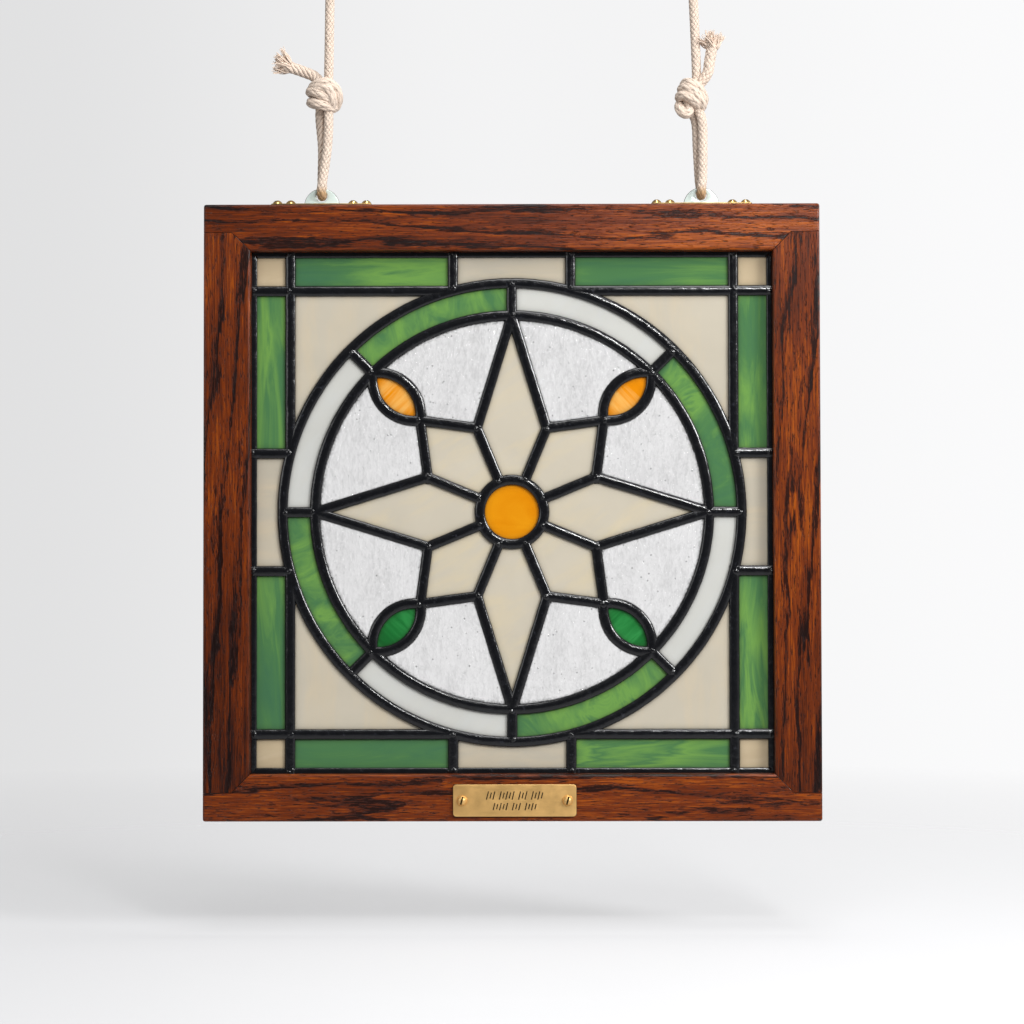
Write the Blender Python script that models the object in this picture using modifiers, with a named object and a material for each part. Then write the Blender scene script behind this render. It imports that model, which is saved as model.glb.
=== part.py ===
"""A leaded glass panel in an oak frame, hung on two knotted cotton ropes.

The panel stands in the XZ plane and is seen from the front along +Y. The origin is the middle of the
line between the two upper rope loops, where the ropes are hung. All sizes are in metres.
"""

import math

import bpy
import bmesh
from mathutils import Matrix, Vector

# Driving dimensions of the frame.
FRAME_SIZE = 0.381  # the frame is square
FRAME_DEPTH = 0.022
MEMBER_WIDTH = 0.029  # what shows of a rail or stile from the front
SHOULDER = 0.0175  # the outer part of a rail that runs through; the rest of the corner is mitred
EDGE_ROUND = 0.0014
HANG_DROP = 0.185  # from the upper rope loops to the top of the frame
JOINT_GAP = 0.0003  # between pieces that touch

# Driving dimensions of the lead and the glass.
CAME_WIDTH = 0.0064
CAME_HEART = 0.0016
FLANGE_THICKNESS = 0.0010
GLASS_THICKNESS = 0.0030
GLASS_CLEARANCE = 0.0004  # between a glass edge and the lead heart
EDGE_LEAD_SHOWS = 0.0033  # what shows of the edge lead inside the frame
BORDER_WIDTH = 0.0240  # from the frame to the border's inner lead, on its centre line
SIDE_LIGHT_HALF = 0.0365  # half the length of the cream light in the middle of each side
RING_WIDTH = 0.0201  # between the centre lines of the ring's two leads
RING_LIGHTS = 8

# Driving dimensions of the star in the middle, on the leads' centre lines.
RAYS = 8  # long and short by turns
HUB_RADIUS = 0.0200
OVAL_LENGTH = 0.0417  # from the tip of a short ray to the ring
OVAL_HALF_WIDTH = 0.0105
RAY_POINT = 0.0240  # how far a short ray reaches past the notches beside it

# Driving dimensions of the metalwork.
PLATE_LENGTH = 0.076
PLATE_HEIGHT = 0.020
PLATE_THICKNESS = 0.0012
PLATE_CORNER = 0.0022
PLATE_DROP = 0.0015  # how far the plate sits below the middle of its rail
PLATE_SHIFT = 0.0015  # how far the plate sits to the right of the rail's middle
PLATE_SCREW_SPACING = 0.065
PLATE_SCREW_DIAMETER = 0.0065
HANGER_INSET = 0.0724  # from the frame's side to the hanger's middle
HANGER_LENGTH = 0.0625
HANGER_WIDTH = 0.012
HANGER_THICKNESS = 0.0010
HANGER_SCREW_PLACES = (0.0194, 0.0277)  # from the hanger's middle, on each side
HANGER_SCREW_DIAMETER = 0.0066
SCREW_HEAD_SHARE = 0.42  # height of a screw's dome as a share of its diameter
SLOT_WIDTH_SHARE = 0.16
TAB_THICKNESS = 0.0020
TAB_RIM = 0.0014  # above the eye
TAB_FOOT = 0.0026  # from the foot of the tab to the bottom of the eye

# Driving dimensions of the ropes.
ROPE_DIAMETER = 0.006
ROPE_CLEARANCE = 0.0004
LOOP_LEAN = 0.0051  # how much nearer the middle a rope's upper loop is than its hanger
UPPER_KNOT_DROP = 0.040  # from the inside top of a loop to the middle of the knot under it
ROUTE_STEP = 0.0120  # between points of a rope's route
LOOP_STEP = 0.0060
BEND_STEP = 0.0040

# How finely round outlines are cut.
SIGHT_STEP = math.radians(9)
SMALL_STEP = math.radians(22.5)
HIDDEN_STEP = math.radians(15)
HIDDEN_SMALL_STEP = math.radians(36)
SMALL_RADIUS = 0.05  # arcs under this radius use the small steps
HOLE_SIDES = 16
DOME_SEGMENTS = 10
DOME_RINGS = 6
ROPE_BEVEL_RESOLUTION = 2

# Places that follow from the sizes above.
ROPE_RADIUS = ROPE_DIAMETER / 2
FRAME_TOP = -HANG_DROP
FRAME_HALF = FRAME_SIZE / 2
PANEL_Z = FRAME_TOP - FRAME_HALF
SIGHT_HALF = FRAME_HALF - MEMBER_WIDTH
CHANNEL = GLASS_THICKNESS + 2 * JOINT_GAP
CAME_DEPTH = CHANNEL + 2 * FLANGE_THICKNESS
GROOVE_WIDTH = CAME_DEPTH + 2 * JOINT_GAP
LATTICE_HALF = SIGHT_HALF + CAME_WIDTH - EDGE_LEAD_SHOWS
EDGE_HALF = LATTICE_HALF - CAME_WIDTH / 2
GROOVE_DEPTH = LATTICE_HALF - SIGHT_HALF + JOINT_GAP
SQUARE_HALF = SIGHT_HALF - BORDER_WIDTH
RING_OUTER = math.hypot(SQUARE_HALF, SIDE_LIGHT_HALF)  # it crosses the square at the side lights' ends
RING_INNER = RING_OUTER - RING_WIDTH
SHORT_RAY = RING_INNER - OVAL_LENGTH
NOTCH_RADIUS = SHORT_RAY - RAY_POINT
HANGER_X = FRAME_HALF - HANGER_INSET
LOOP_X = HANGER_X - LOOP_LEAN
EYE_HOLE_RADIUS = ROPE_RADIUS + 1.25 * ROPE_CLEARANCE
EYE_HEIGHT = TAB_FOOT + EYE_HOLE_RADIUS
TAB_RADIUS = EYE_HEIGHT + EYE_HOLE_RADIUS + TAB_RIM
RAY_ANGLE = 2 * math.pi / RAYS

# Base colour, roughness and metallic value of each finish.
FINISHES = {
    "stained_oak": ((0.17, 0.045, 0.018), 0.35, 0.0),
    "lead": ((0.018, 0.018, 0.020), 0.35, 0.6),
    "cream_glass": ((0.78, 0.72, 0.58), 0.15, 0.0),
    "white_glass": ((0.78, 0.78, 0.76), 0.15, 0.0),
    "green_glass": ((0.06, 0.28, 0.07), 0.15, 0.0),
    "leaf_glass": ((0.02, 0.17, 0.04), 0.15, 0.0),
    "amber_glass": ((0.85, 0.36, 0.02), 0.15, 0.0),
    "clear_glass": ((0.85, 0.86, 0.86), 0.10, 0.0),
    "brass": ((0.72, 0.46, 0.16), 0.30, 1.0),
    "cotton": ((0.78, 0.68, 0.52), 0.90, 0.0),
}


def clear_scene():
    for obj in list(bpy.data.objects):
        bpy.data.objects.remove(obj)


def new_collection(name, hidden=False):
    made = bpy.data.collections.new(name)
    bpy.context.scene.collection.children.link(made)
    made.hide_render = hidden
    return made


def make_finishes():
    made = {}
    for name, (colour, roughness, metallic) in FINISHES.items():
        material = bpy.data.materials.new(name)
        material.use_nodes = True
        shader = material.node_tree.nodes["Principled BSDF"]
        shader.inputs["Base Color"].default_value = (*colour, 1.0)
        shader.inputs["Roughness"].default_value = roughness
        shader.inputs["Metallic"].default_value = metallic
        made[name] = material
    return made


def polar(radius, angle):
    return Vector((radius * math.cos(angle), radius * math.sin(angle)))


def cross(a, b):
    return a.x * b.y - a.y * b.x


class Side:
    """One side of a light: a straight lead, or a round one about centre. The light lies on its left.

    turn is 1 where the round lead bulges out of the light, and -1 where it bulges into it.
    """

    def __init__(self, start, end, centre=None, turn=0):
        self.start, self.end, self.centre, self.turn = start, end, centre, turn
        if centre is not None:
            self.radius = (start - centre).length

    def line(self, inset):
        """A point and a direction of the straight side, moved into the light."""
        along = (self.end - self.start).normalized()
        return self.start + Vector((-along.y, along.x)) * inset, along

    def circle(self, inset):
        """The radius of the round side, moved into the light."""
        return self.radius - self.turn * inset

    def sweep(self, start, end):
        """The angle that the round side turns through from start to end."""
        a, b = start - self.centre, end - self.centre
        angle = math.atan2(cross(a, b), a.dot(b))
        return angle if angle * self.turn >= 0 else angle + 2 * math.pi * self.turn

    def meet(self, other, inset):
        """Where this side, moved in, meets the next one."""
        near = self.end
        if self.centre is not None and self.centre == other.centre:
            return self.centre + (near - self.centre).normalized() * self.circle(inset)
        if self.centre is None and other.centre is None:
            point, along = self.line(inset)
            onto, across = other.line(inset)
            return point + along * (cross(onto - point, across) / cross(along, across))
        if self.centre is None or other.centre is None:
            straight, bent = (self, other) if self.centre is None else (other, self)
            point, along = straight.line(inset)
            foot = point + along * along.dot(bent.centre - point)
            reach = math.sqrt(bent.circle(inset) ** 2 - (foot - bent.centre).length_squared)
            found = [foot + along * reach, foot - along * reach]
        else:
            between = other.centre - self.centre
            first, second = self.circle(inset), other.circle(inset)
            share = (first**2 - second**2 + between.length_squared) / (2 * between.length)
            reach = math.sqrt(first**2 - share**2)
            unit = between.normalized()
            foot = self.centre + unit * share
            found = [foot + Vector((-unit.y, unit.x)) * s * reach for s in (1, -1)]
        return min(found, key=lambda point: (point - near).length)


def outline(sides, inset, steps):
    """The outline of a light whose sides are moved in by inset. steps are the arc steps, large and small."""
    corners = [sides[i - 1].meet(side, inset) for i, side in enumerate(sides)]
    points = []
    for i, side in enumerate(sides):
        start, end = corners[i], corners[(i + 1) % len(sides)]
        points.append(start)
        if side.centre is None:
            continue
        step = steps[0] if side.radius > SMALL_RADIUS else steps[1]
        count = max(1, round(abs(side.sweep(side.start, side.end)) / step))
        first = start - side.centre
        for k in range(1, count):
            angle = math.atan2(first.y, first.x) + side.sweep(start, end) * k / count
            points.append(side.centre + polar(first.length, angle))
    return points


def circle_points(radius, count, centre=(0.0, 0.0)):
    middle = Vector(centre)
    return [middle + polar(radius, 2 * math.pi * k / count) for k in range(count)]


def ring_of(corners, arcs=None):
    """The sides of a light from its corners, anticlockwise. arcs gives each round side's centre and turn."""
    arcs = arcs or {}
    count = len(corners)
    return [Side(corners[i], corners[(i + 1) % count], *arcs.get(i, ())) for i in range(count)]


def rectangle(left, low, right, high):
    corners = [(left, low), (right, low), (right, high), (left, high)]
    return ring_of([Vector(corner) for corner in corners])


def mirrored(sides, flip_x, flip_y):
    """The same light on another side of the panel, still anticlockwise."""
    flip = Vector((-1 if flip_x else 1, -1 if flip_y else 1))

    def moved(point):
        return Vector((point.x * flip.x, point.y * flip.y))

    turned = []
    for side in sides:
        centre = None if side.centre is None else moved(side.centre)
        ends = [moved(side.start), moved(side.end)]
        if flip_x != flip_y:
            ends.reverse()
        turned.append(Side(*ends, centre, side.turn))
    return turned if flip_x == flip_y else turned[::-1]


QUARTERS = ((False, False), (True, False), (True, True), (False, True))


def border_lights():
    """The sixteen lights round the edge: corners, green oblongs and cream ones that the ring cuts into."""
    origin = Vector((0.0, 0.0))
    lights = []
    corner = rectangle(SQUARE_HALF, SQUARE_HALF, EDGE_HALF, EDGE_HALF)
    level = rectangle(SIDE_LIGHT_HALF, SQUARE_HALF, SQUARE_HALF, EDGE_HALF)
    upright = rectangle(SQUARE_HALF, SIDE_LIGHT_HALF, EDGE_HALF, SQUARE_HALF)
    for number, quarter in enumerate(QUARTERS, 1):
        lights.append((f"glass_corner_{number}", mirrored(corner, *quarter), "cream_glass"))
        lights.append((f"glass_border_level_{number}", mirrored(level, *quarter), "green_glass"))
        lights.append((f"glass_border_upright_{number}", mirrored(upright, *quarter), "green_glass"))
    top = ring_of(
        [
            Vector((SIDE_LIGHT_HALF, SQUARE_HALF)),
            Vector((SIDE_LIGHT_HALF, EDGE_HALF)),
            Vector((-SIDE_LIGHT_HALF, EDGE_HALF)),
            Vector((-SIDE_LIGHT_HALF, SQUARE_HALF)),
        ],
        {3: (origin, -1)},
    )
    right = ring_of(
        [
            Vector((SQUARE_HALF, -SIDE_LIGHT_HALF)),
            Vector((EDGE_HALF, -SIDE_LIGHT_HALF)),
            Vector((EDGE_HALF, SIDE_LIGHT_HALF)),
            Vector((SQUARE_HALF, SIDE_LIGHT_HALF)),
        ],
        {3: (origin, -1)},
    )
    lights.append(("glass_side_top", top, "cream_glass"))
    lights.append(("glass_side_bottom", mirrored(top, False, True), "cream_glass"))
    lights.append(("glass_side_right", right, "cream_glass"))
    lights.append(("glass_side_left", mirrored(right, True, False), "cream_glass"))
    return lights


def spandrel_lights():
    """The four cream lights between the ring and the border's corners."""
    corners = [
        Vector((SQUARE_HALF, SIDE_LIGHT_HALF)),
        Vector((SQUARE_HALF, SQUARE_HALF)),
        Vector((SIDE_LIGHT_HALF, SQUARE_HALF)),
    ]
    spandrel = ring_of(corners, {2: (Vector((0.0, 0.0)), -1)})
    return [
        (f"glass_spandrel_{number}", mirrored(spandrel, *quarter), "cream_glass")
        for number, quarter in enumerate(QUARTERS, 1)
    ]


def ring_lights():
    """The ring's lights, white and green by turns, anticlockwise from the right."""
    origin = Vector((0.0, 0.0))
    step = 2 * math.pi / RING_LIGHTS
    lights = []
    for k in range(RING_LIGHTS):
        a, b = k * step, (k + 1) * step
        corners = [
            polar(RING_INNER, a),
            polar(RING_OUTER, a),
            polar(RING_OUTER, b),
            polar(RING_INNER, b),
        ]
        glass = "white_glass" if k % 2 else "green_glass"
        light = ring_of(corners, {1: (origin, 1), 3: (origin, -1)})
        lights.append((f"glass_ring_{k + 1}", light, glass))
    return lights


def oval_centres(inner, outer):
    """The centres of a pointed oval's right and left side, seen along it from inner to outer."""
    chord = outer - inner
    radius = (chord.length_squared / 4 + OVAL_HALF_WIDTH**2) / (2 * OVAL_HALF_WIDTH)
    left = Vector((-chord.y, chord.x)).normalized()
    middle = (inner + outer) / 2
    return middle + left * (radius - OVAL_HALF_WIDTH), middle - left * (radius - OVAL_HALF_WIDTH)


def star_lights():
    """The hub, its long and short rays, an oval beyond each short ray, and the clear field between."""
    origin = Vector((0.0, 0.0))
    quarters = [polar(HUB_RADIUS, k * math.pi / 2) for k in range(4)]
    hub = ring_of(quarters, {k: (origin, 1) for k in range(4)})
    lights = [("glass_hub", hub, "amber_glass")]
    for k in range(RAYS):
        axis = k * RAY_ANGLE
        low, high = axis - RAY_ANGLE / 2, axis + RAY_ANGLE / 2
        notch_low, notch_high = polar(NOTCH_RADIUS, low), polar(NOTCH_RADIUS, high)
        tip = polar(SHORT_RAY if k % 2 else RING_INNER, axis)
        corners = [polar(HUB_RADIUS, low), notch_low, tip, notch_high, polar(HUB_RADIUS, high)]
        lights.append((f"glass_ray_{k + 1}", ring_of(corners, {4: (origin, -1)}), "cream_glass"))
        if k % 2 == 0:
            continue
        outer = polar(RING_INNER, axis)
        right, left = oval_centres(tip, outer)
        oval = ring_of([tip, outer], {0: (right, 1), 1: (left, 1)})
        glass = "amber_glass" if math.sin(axis) > 0 else "leaf_glass"
        lights.append((f"glass_oval_{(k + 1) // 2}", oval, glass))
        before, after = polar(RING_INNER, axis - RAY_ANGLE), polar(RING_INNER, axis + RAY_ANGLE)
        field_right = ring_of([notch_low, before, outer, tip], {1: (origin, 1), 2: (right, -1)})
        field_left = ring_of([tip, outer, after, notch_high], {0: (left, -1), 1: (origin, 1)})
        lights.append((f"glass_field_{k}", field_right, "clear_glass"))
        lights.append((f"glass_field_{k + 1}", field_left, "clear_glass"))
    return lights


def flat_curve(name, outlines, thickness):
    """A flat curve object, filled between its outlines and given a thickness."""
    curve = bpy.data.curves.new(name, "CURVE")
    curve.dimensions = "2D"
    curve.fill_mode = "BOTH"
    curve.extrude = thickness / 2
    for points in outlines:
        spline = curve.splines.new("POLY")
        spline.points.add(len(points) - 1)
        for place, point in zip(spline.points, points):
            place.co = (point.x, point.y, 0.0, 1.0)
        spline.use_cyclic_u = True
    return bpy.data.objects.new(name, curve)


def standing(obj, x=0.0, y=0.0, z=0.0):
    """Stands a flat shape upright, its own X and Y along the panel's width and height."""
    obj.location = (x, y, z)
    obj.rotation_euler = (math.pi / 2, 0.0, 0.0)
    return obj


def as_mesh(curve_object, collection):
    """The curve as a closed mesh object in the same place."""
    bpy.context.scene.collection.objects.link(curve_object)
    bpy.context.view_layer.update()
    graph = bpy.context.evaluated_depsgraph_get()
    mesh = bpy.data.meshes.new_from_object(curve_object.evaluated_get(graph))
    shape = bmesh.new()
    shape.from_mesh(mesh)
    bmesh.ops.remove_doubles(shape, verts=shape.verts, dist=1e-6)
    bmesh.ops.recalc_face_normals(shape, faces=shape.faces)
    shape.to_mesh(mesh)
    shape.free()
    name = curve_object.name
    place = curve_object.matrix_world.copy()
    bpy.data.objects.remove(curve_object)
    made = bpy.data.objects.new(name, mesh)
    made.matrix_world = place
    collection.objects.link(made)
    return made


def board(name, outlines, thickness, collection):
    """Flat boards standing in the panel's plane, one for each outline, as one object."""
    shape = bmesh.new()
    faces = []
    for points in outlines:
        corners = [shape.verts.new((point.x, point.y, -thickness / 2)) for point in points]
        faces.append(shape.faces.new(corners))
    grown = bmesh.ops.extrude_face_region(shape, geom=faces)
    top = [g for g in grown["geom"] if isinstance(g, bmesh.types.BMVert)]
    bmesh.ops.translate(shape, verts=top, vec=(0.0, 0.0, thickness))
    bmesh.ops.recalc_face_normals(shape, faces=shape.faces)
    mesh = bpy.data.meshes.new(name)
    shape.to_mesh(mesh)
    shape.free()
    obj = standing(bpy.data.objects.new(name, mesh), z=PANEL_Z)
    collection.objects.link(obj)
    return obj


def helper(obj, collection):
    """Marks an object as a cutter or a piece of a union, which isn't a part of its own."""
    if obj.name not in collection.objects:
        collection.objects.link(obj)
    obj.hide_render = True
    obj.display_type = "WIRE"
    return obj


def boolean(obj, other, operation):
    modifier = obj.modifiers.new(other.name, "BOOLEAN")
    modifier.operation = operation
    modifier.object = other


def box(name, size, centre):
    shape = bmesh.new()
    bmesh.ops.create_cube(shape, size=1.0, matrix=Matrix.Diagonal((*size, 1.0)))
    mesh = bpy.data.meshes.new(name)
    shape.to_mesh(mesh)
    shape.free()
    obj = bpy.data.objects.new(name, mesh)
    obj.location = centre
    return obj


def finish_part(obj, material, smooth_angle=None):
    obj.data.materials.append(material)
    if smooth_angle is not None:
        obj.data.shade_smooth()
        obj.data.set_sharp_from_angle(angle=smooth_angle)
    return obj


def make_glass(lights, finishes, parts, holder):
    """One pane for each light, held in the lead with a little clearance all round."""
    inset = CAME_HEART / 2 + GLASS_CLEARANCE
    for name, sides, glass in lights:
        points = outline(sides, inset, (HIDDEN_STEP, HIDDEN_SMALL_STEP))
        pane = standing(flat_curve(name, [points], GLASS_THICKNESS))
        pane.parent = holder
        parts.objects.link(pane)
        finish_part(pane, finishes[glass])


def make_came(lights, finishes, parts, cutters):
    """The leads, soldered into one lattice, with a channel for the edge of every pane."""
    quarters = ((-1, -1), (1, -1), (1, 1), (-1, 1))
    edge = [Vector((x * LATTICE_HALF, z * LATTICE_HALF)) for x, z in quarters]
    sights = [outline(sides, CAME_WIDTH / 2, (SIGHT_STEP, SMALL_STEP)) for _, sides, _ in lights]
    channels = [
        outline(sides, CAME_HEART / 2, (HIDDEN_STEP, HIDDEN_SMALL_STEP)) for _, sides, _ in lights
    ]
    lattice = board("lead_came", [edge], CAME_DEPTH, parts)
    openings = helper(board("lead_openings", sights, 2 * CAME_DEPTH, cutters), cutters)
    grooves = helper(board("glass_channels", channels, CHANNEL, cutters), cutters)
    boolean(lattice, openings, "DIFFERENCE")
    boolean(lattice, grooves, "DIFFERENCE")
    finish_part(lattice, finishes["lead"])


def rail_outline():
    """The top rail seen from the front, about the panel's centre: it runs through, with mitred shoulders."""
    low = FRAME_HALF - SHOULDER + JOINT_GAP / 2
    gap = JOINT_GAP / math.sqrt(2)
    right = [
        Vector((FRAME_HALF, FRAME_HALF)),
        Vector((FRAME_HALF, low)),
        Vector((FRAME_HALF - SHOULDER - gap / 2, low)),
        Vector((SIGHT_HALF - gap, SIGHT_HALF)),
    ]
    left = [Vector((-point.x, point.y)) for point in reversed(right)]
    return right + left


def stile_outline():
    """The right stile seen from the front, about the panel's centre."""
    high = FRAME_HALF - SHOULDER - JOINT_GAP / 2
    gap = JOINT_GAP / math.sqrt(2)
    upper = [
        Vector((SIGHT_HALF, SIGHT_HALF - gap)),
        Vector((FRAME_HALF - SHOULDER + gap / 2, high)),
        Vector((FRAME_HALF, high)),
    ]
    lower = [Vector((point.x, -point.y)) for point in reversed(upper)]
    return upper + lower


def rounds(points, level):
    """Whether the edge between two outline points shows on the frame, and so is rounded."""
    near = 1e-5
    if not level:
        return all(abs(abs(place) - FRAME_HALF) < near for place in points[0])
    for reach in (FRAME_HALF, SIGHT_HALF):
        for axis in (0, 1):
            if all(abs(abs(point[axis]) - reach) < near for point in points):
                return True
    return False


def frame_member(name, points, groove_size, groove_centre, finishes, parts, cutters):
    """One rail or stile: its outline made solid, its showing edges rounded, and its groove cut."""
    member = board(name, [points], FRAME_DEPTH, parts)
    mesh = member.data
    weights = mesh.attributes.new("bevel_weight_edge", "FLOAT", "EDGE")
    for edge in mesh.edges:
        ends = [mesh.vertices[index].co for index in edge.vertices]
        level = abs(ends[0].z - ends[1].z) < FRAME_DEPTH / 2
        weights.data[edge.index].value = 1.0 if rounds([e.xy for e in ends], level) else 0.0
    bevel = member.modifiers.new("rounded edges", "BEVEL")
    bevel.limit_method = "WEIGHT"
    bevel.width = EDGE_ROUND
    bevel.segments = 2
    groove = helper(box(name + "_groove", groove_size, groove_centre), cutters)
    boolean(member, groove, "DIFFERENCE")
    finish_part(member, finishes["stained_oak"])
    return member


def make_frame(finishes, parts, cutters):
    """Two rails that run through and two stiles between them, grooved for the edge of the leaded panel."""
    rail = rail_outline()
    stile = stile_outline()
    tool = 2 * GROOVE_DEPTH
    for name, side in (("frame_top_rail", 1), ("frame_bottom_rail", -1)):
        points = [Vector((p.x, side * p.y)) for p in rail]
        centre = (0.0, 0.0, PANEL_Z + side * SIGHT_HALF)
        frame_member(
            name, points, (2 * FRAME_SIZE, GROOVE_WIDTH, tool), centre, finishes, parts, cutters
        )
    for name, side in (("frame_right_stile", 1), ("frame_left_stile", -1)):
        points = [Vector((side * p.x, p.y)) for p in stile]
        centre = (side * SIGHT_HALF, 0.0, PANEL_Z)
        frame_member(
            name, points, (tool, GROOVE_WIDTH, 2 * FRAME_SIZE), centre, finishes, parts, cutters
        )


def rounded_rectangle(length, height, radius, corner_points=4):
    """The outline of a plate with round corners."""
    points = []
    for k, (x, z) in enumerate(((1, 1), (-1, 1), (-1, -1), (1, -1))):
        middle = Vector((x * (length / 2 - radius), z * (height / 2 - radius)))
        for n in range(corner_points):
            angle = (k + n / (corner_points - 1)) * math.pi / 2
            points.append(middle + polar(radius, angle))
    return points


def dome(name, diameter):
    """A screw's round head: the top of a ball, with its flat side at Z = 0."""
    height = diameter * SCREW_HEAD_SHARE
    ball = (diameter**2 / 4 + height**2) / (2 * height)
    spread = math.asin(diameter / 2 / ball)
    sunk = diameter * 0.1
    shape = bmesh.new()
    bmesh.ops.create_cone(
        shape,
        cap_ends=True,
        segments=DOME_SEGMENTS,
        radius1=diameter / 2,
        radius2=diameter / 2,
        depth=sunk,
        matrix=Matrix.Translation((0.0, 0.0, -sunk / 2)),
    )
    top = [face for face in shape.faces if face.calc_center_median().z > -sunk / 4]
    for k in range(1, DOME_RINGS // 2 + 1):
        angle = spread * (1 - k / (DOME_RINGS // 2 + 1))
        grown = bmesh.ops.extrude_face_region(shape, geom=top)
        corners = [g for g in grown["geom"] if isinstance(g, bmesh.types.BMVert)]
        bmesh.ops.delete(shape, geom=top, context="FACES_ONLY")
        for corner in corners:
            outward = corner.co.xy.normalized() * ball * math.sin(angle)
            corner.co = (outward.x, outward.y, ball * math.cos(angle) - ball + height)
        top = [g for g in grown["geom"] if isinstance(g, bmesh.types.BMFace)]
    mesh = bpy.data.meshes.new(name)
    shape.to_mesh(mesh)
    shape.free()
    return bpy.data.objects.new(name, mesh)


def screw_head(name, diameter, place, turn, upright, target, cutters):
    """Joins a slotted round head onto target. upright heads face up, and the others face the front."""
    head = dome(name, diameter)
    slot_size = (2 * diameter, diameter * SLOT_WIDTH_SHARE, diameter * 0.2)
    slot = box(name + "_slot", slot_size, (0.0, 0.0, diameter * SCREW_HEAD_SHARE))
    facing = Matrix() if upright else Matrix.Rotation(math.pi / 2, 4, "X")
    placed = Matrix.Translation(place) @ facing @ Matrix.Rotation(turn, 4, "Z")
    slot.matrix_world = placed @ slot.matrix_basis
    head.matrix_world = placed
    helper(head, cutters)
    helper(slot, cutters)
    boolean(target, head, "UNION")
    boolean(target, slot, "DIFFERENCE")


def make_plate(finishes, parts, cutters):
    """The brass plate on the bottom rail, held by two slotted screws."""
    middle_z = PANEL_Z - FRAME_HALF + MEMBER_WIDTH / 2 - PLATE_DROP
    back_y = -FRAME_DEPTH / 2 - JOINT_GAP
    outline_points = rounded_rectangle(PLATE_LENGTH, PLATE_HEIGHT, PLATE_CORNER)
    flat = flat_curve("brass_plate", [outline_points], PLATE_THICKNESS)
    plate = as_mesh(standing(flat, PLATE_SHIFT, back_y - PLATE_THICKNESS / 2, middle_z), parts)
    for side in (-1, 1):
        x = PLATE_SHIFT + side * PLATE_SCREW_SPACING / 2
        place = (x, back_y - PLATE_THICKNESS, middle_z)
        name = "plate_screw_left" if side < 0 else "plate_screw_right"
        screw_head(name, PLATE_SCREW_DIAMETER, place, math.radians(75), False, plate, cutters)
    finish_part(plate, finishes["brass"], math.radians(30))


def tab_outline():
    """The hanger's upright tab about the middle of its foot, with its eye: (edge, hole)."""
    half = HOLE_SIDES // 2
    edge = [polar(TAB_RADIUS, math.pi * k / half) for k in range(half + 1)]
    foot = HANGER_THICKNESS / 2
    edge = [Vector((point.x, max(point.y, foot))) for point in edge]
    hole = circle_points(EYE_HOLE_RADIUS, HOLE_SIDES, (0.0, EYE_HEIGHT))
    return edge, hole


def make_hanger(name, x, finishes, parts, cutters):
    """A brass strap on the frame's top edge with an upright tab, whose eye takes the rope."""
    bottom = FRAME_TOP + JOINT_GAP
    strap = box(name, (HANGER_LENGTH, HANGER_WIDTH, HANGER_THICKNESS), (0.0, 0.0, 0.0))
    strap.location = (x, 0.0, bottom + HANGER_THICKNESS / 2)
    parts.objects.link(strap)
    tab = standing(flat_curve(name + "_tab", tab_outline(), TAB_THICKNESS), x=x, z=bottom)
    tab = helper(as_mesh(tab, cutters), cutters)
    boolean(strap, tab, "UNION")
    for side in (-1, 1):
        for number, away in enumerate(HANGER_SCREW_PLACES, 1):
            place = (x + side * away, 0.0, bottom + HANGER_THICKNESS)
            label = f"{name}_screw_{'left' if side < 0 else 'right'}_{number}"
            turn = math.radians(40 * number + 25 * side)
            screw_head(label, HANGER_SCREW_DIAMETER, place, turn, True, strap, cutters)
    finish_part(strap, finishes["brass"], math.radians(30))


def smooth_route(points, step):
    """Points about a step apart on a smooth curve through the given ones."""
    ends = [points[0] * 2 - points[1], *points, points[-1] * 2 - points[-2]]
    fine = []
    for a, b, c, d in zip(ends, ends[1:], ends[2:], ends[3:]):
        for k in range(16):
            t = k / 16
            ahead = (c - a) * t + (2 * a - 5 * b + 4 * c - d) * t**2
            fine.append(b + (ahead + (3 * b - a - 3 * c + d) * t**3) / 2)
    fine.append(points[-1])
    long = sum((b - a).length for a, b in zip(fine, fine[1:]))
    spacing = long / max(2, round(long / step))
    route, gone = [fine[0]], 0.0
    for a, b in zip(fine, fine[1:]):
        gone += (b - a).length
        if gone >= spacing * len(route) - 1e-9:
            route.append(b)
    if (route[-1] - fine[-1]).length > spacing / 4:
        route.append(fine[-1])
    return route


def tube(name, points, step, cutters):
    """A length of rope along a smooth curve through the points, as a mesh."""
    curve = bpy.data.curves.new(name, "CURVE")
    curve.dimensions = "3D"
    curve.bevel_depth = ROPE_RADIUS
    curve.bevel_resolution = ROPE_BEVEL_RESOLUTION
    curve.use_fill_caps = True
    route = smooth_route(points, step)
    spline = curve.splines.new("POLY")
    spline.points.add(len(route) - 1)
    for place, point in zip(spline.points, route):
        place.co = (*point, 1.0)
    return as_mesh(bpy.data.objects.new(name, curve), cutters)


def knot_ball(name, size, centre, collection):
    """The outer shape of a tied knot: a ball, longer one way than the other."""
    shape = bmesh.new()
    stretch = Matrix.Diagonal((*(s / 2 for s in size), 1.0))
    bmesh.ops.create_uvsphere(shape, u_segments=12, v_segments=8, radius=1.0, matrix=stretch)
    mesh = bpy.data.meshes.new(name)
    shape.to_mesh(mesh)
    shape.free()
    obj = bpy.data.objects.new(name, mesh)
    obj.location = centre
    collection.objects.link(obj)
    return obj


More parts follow.
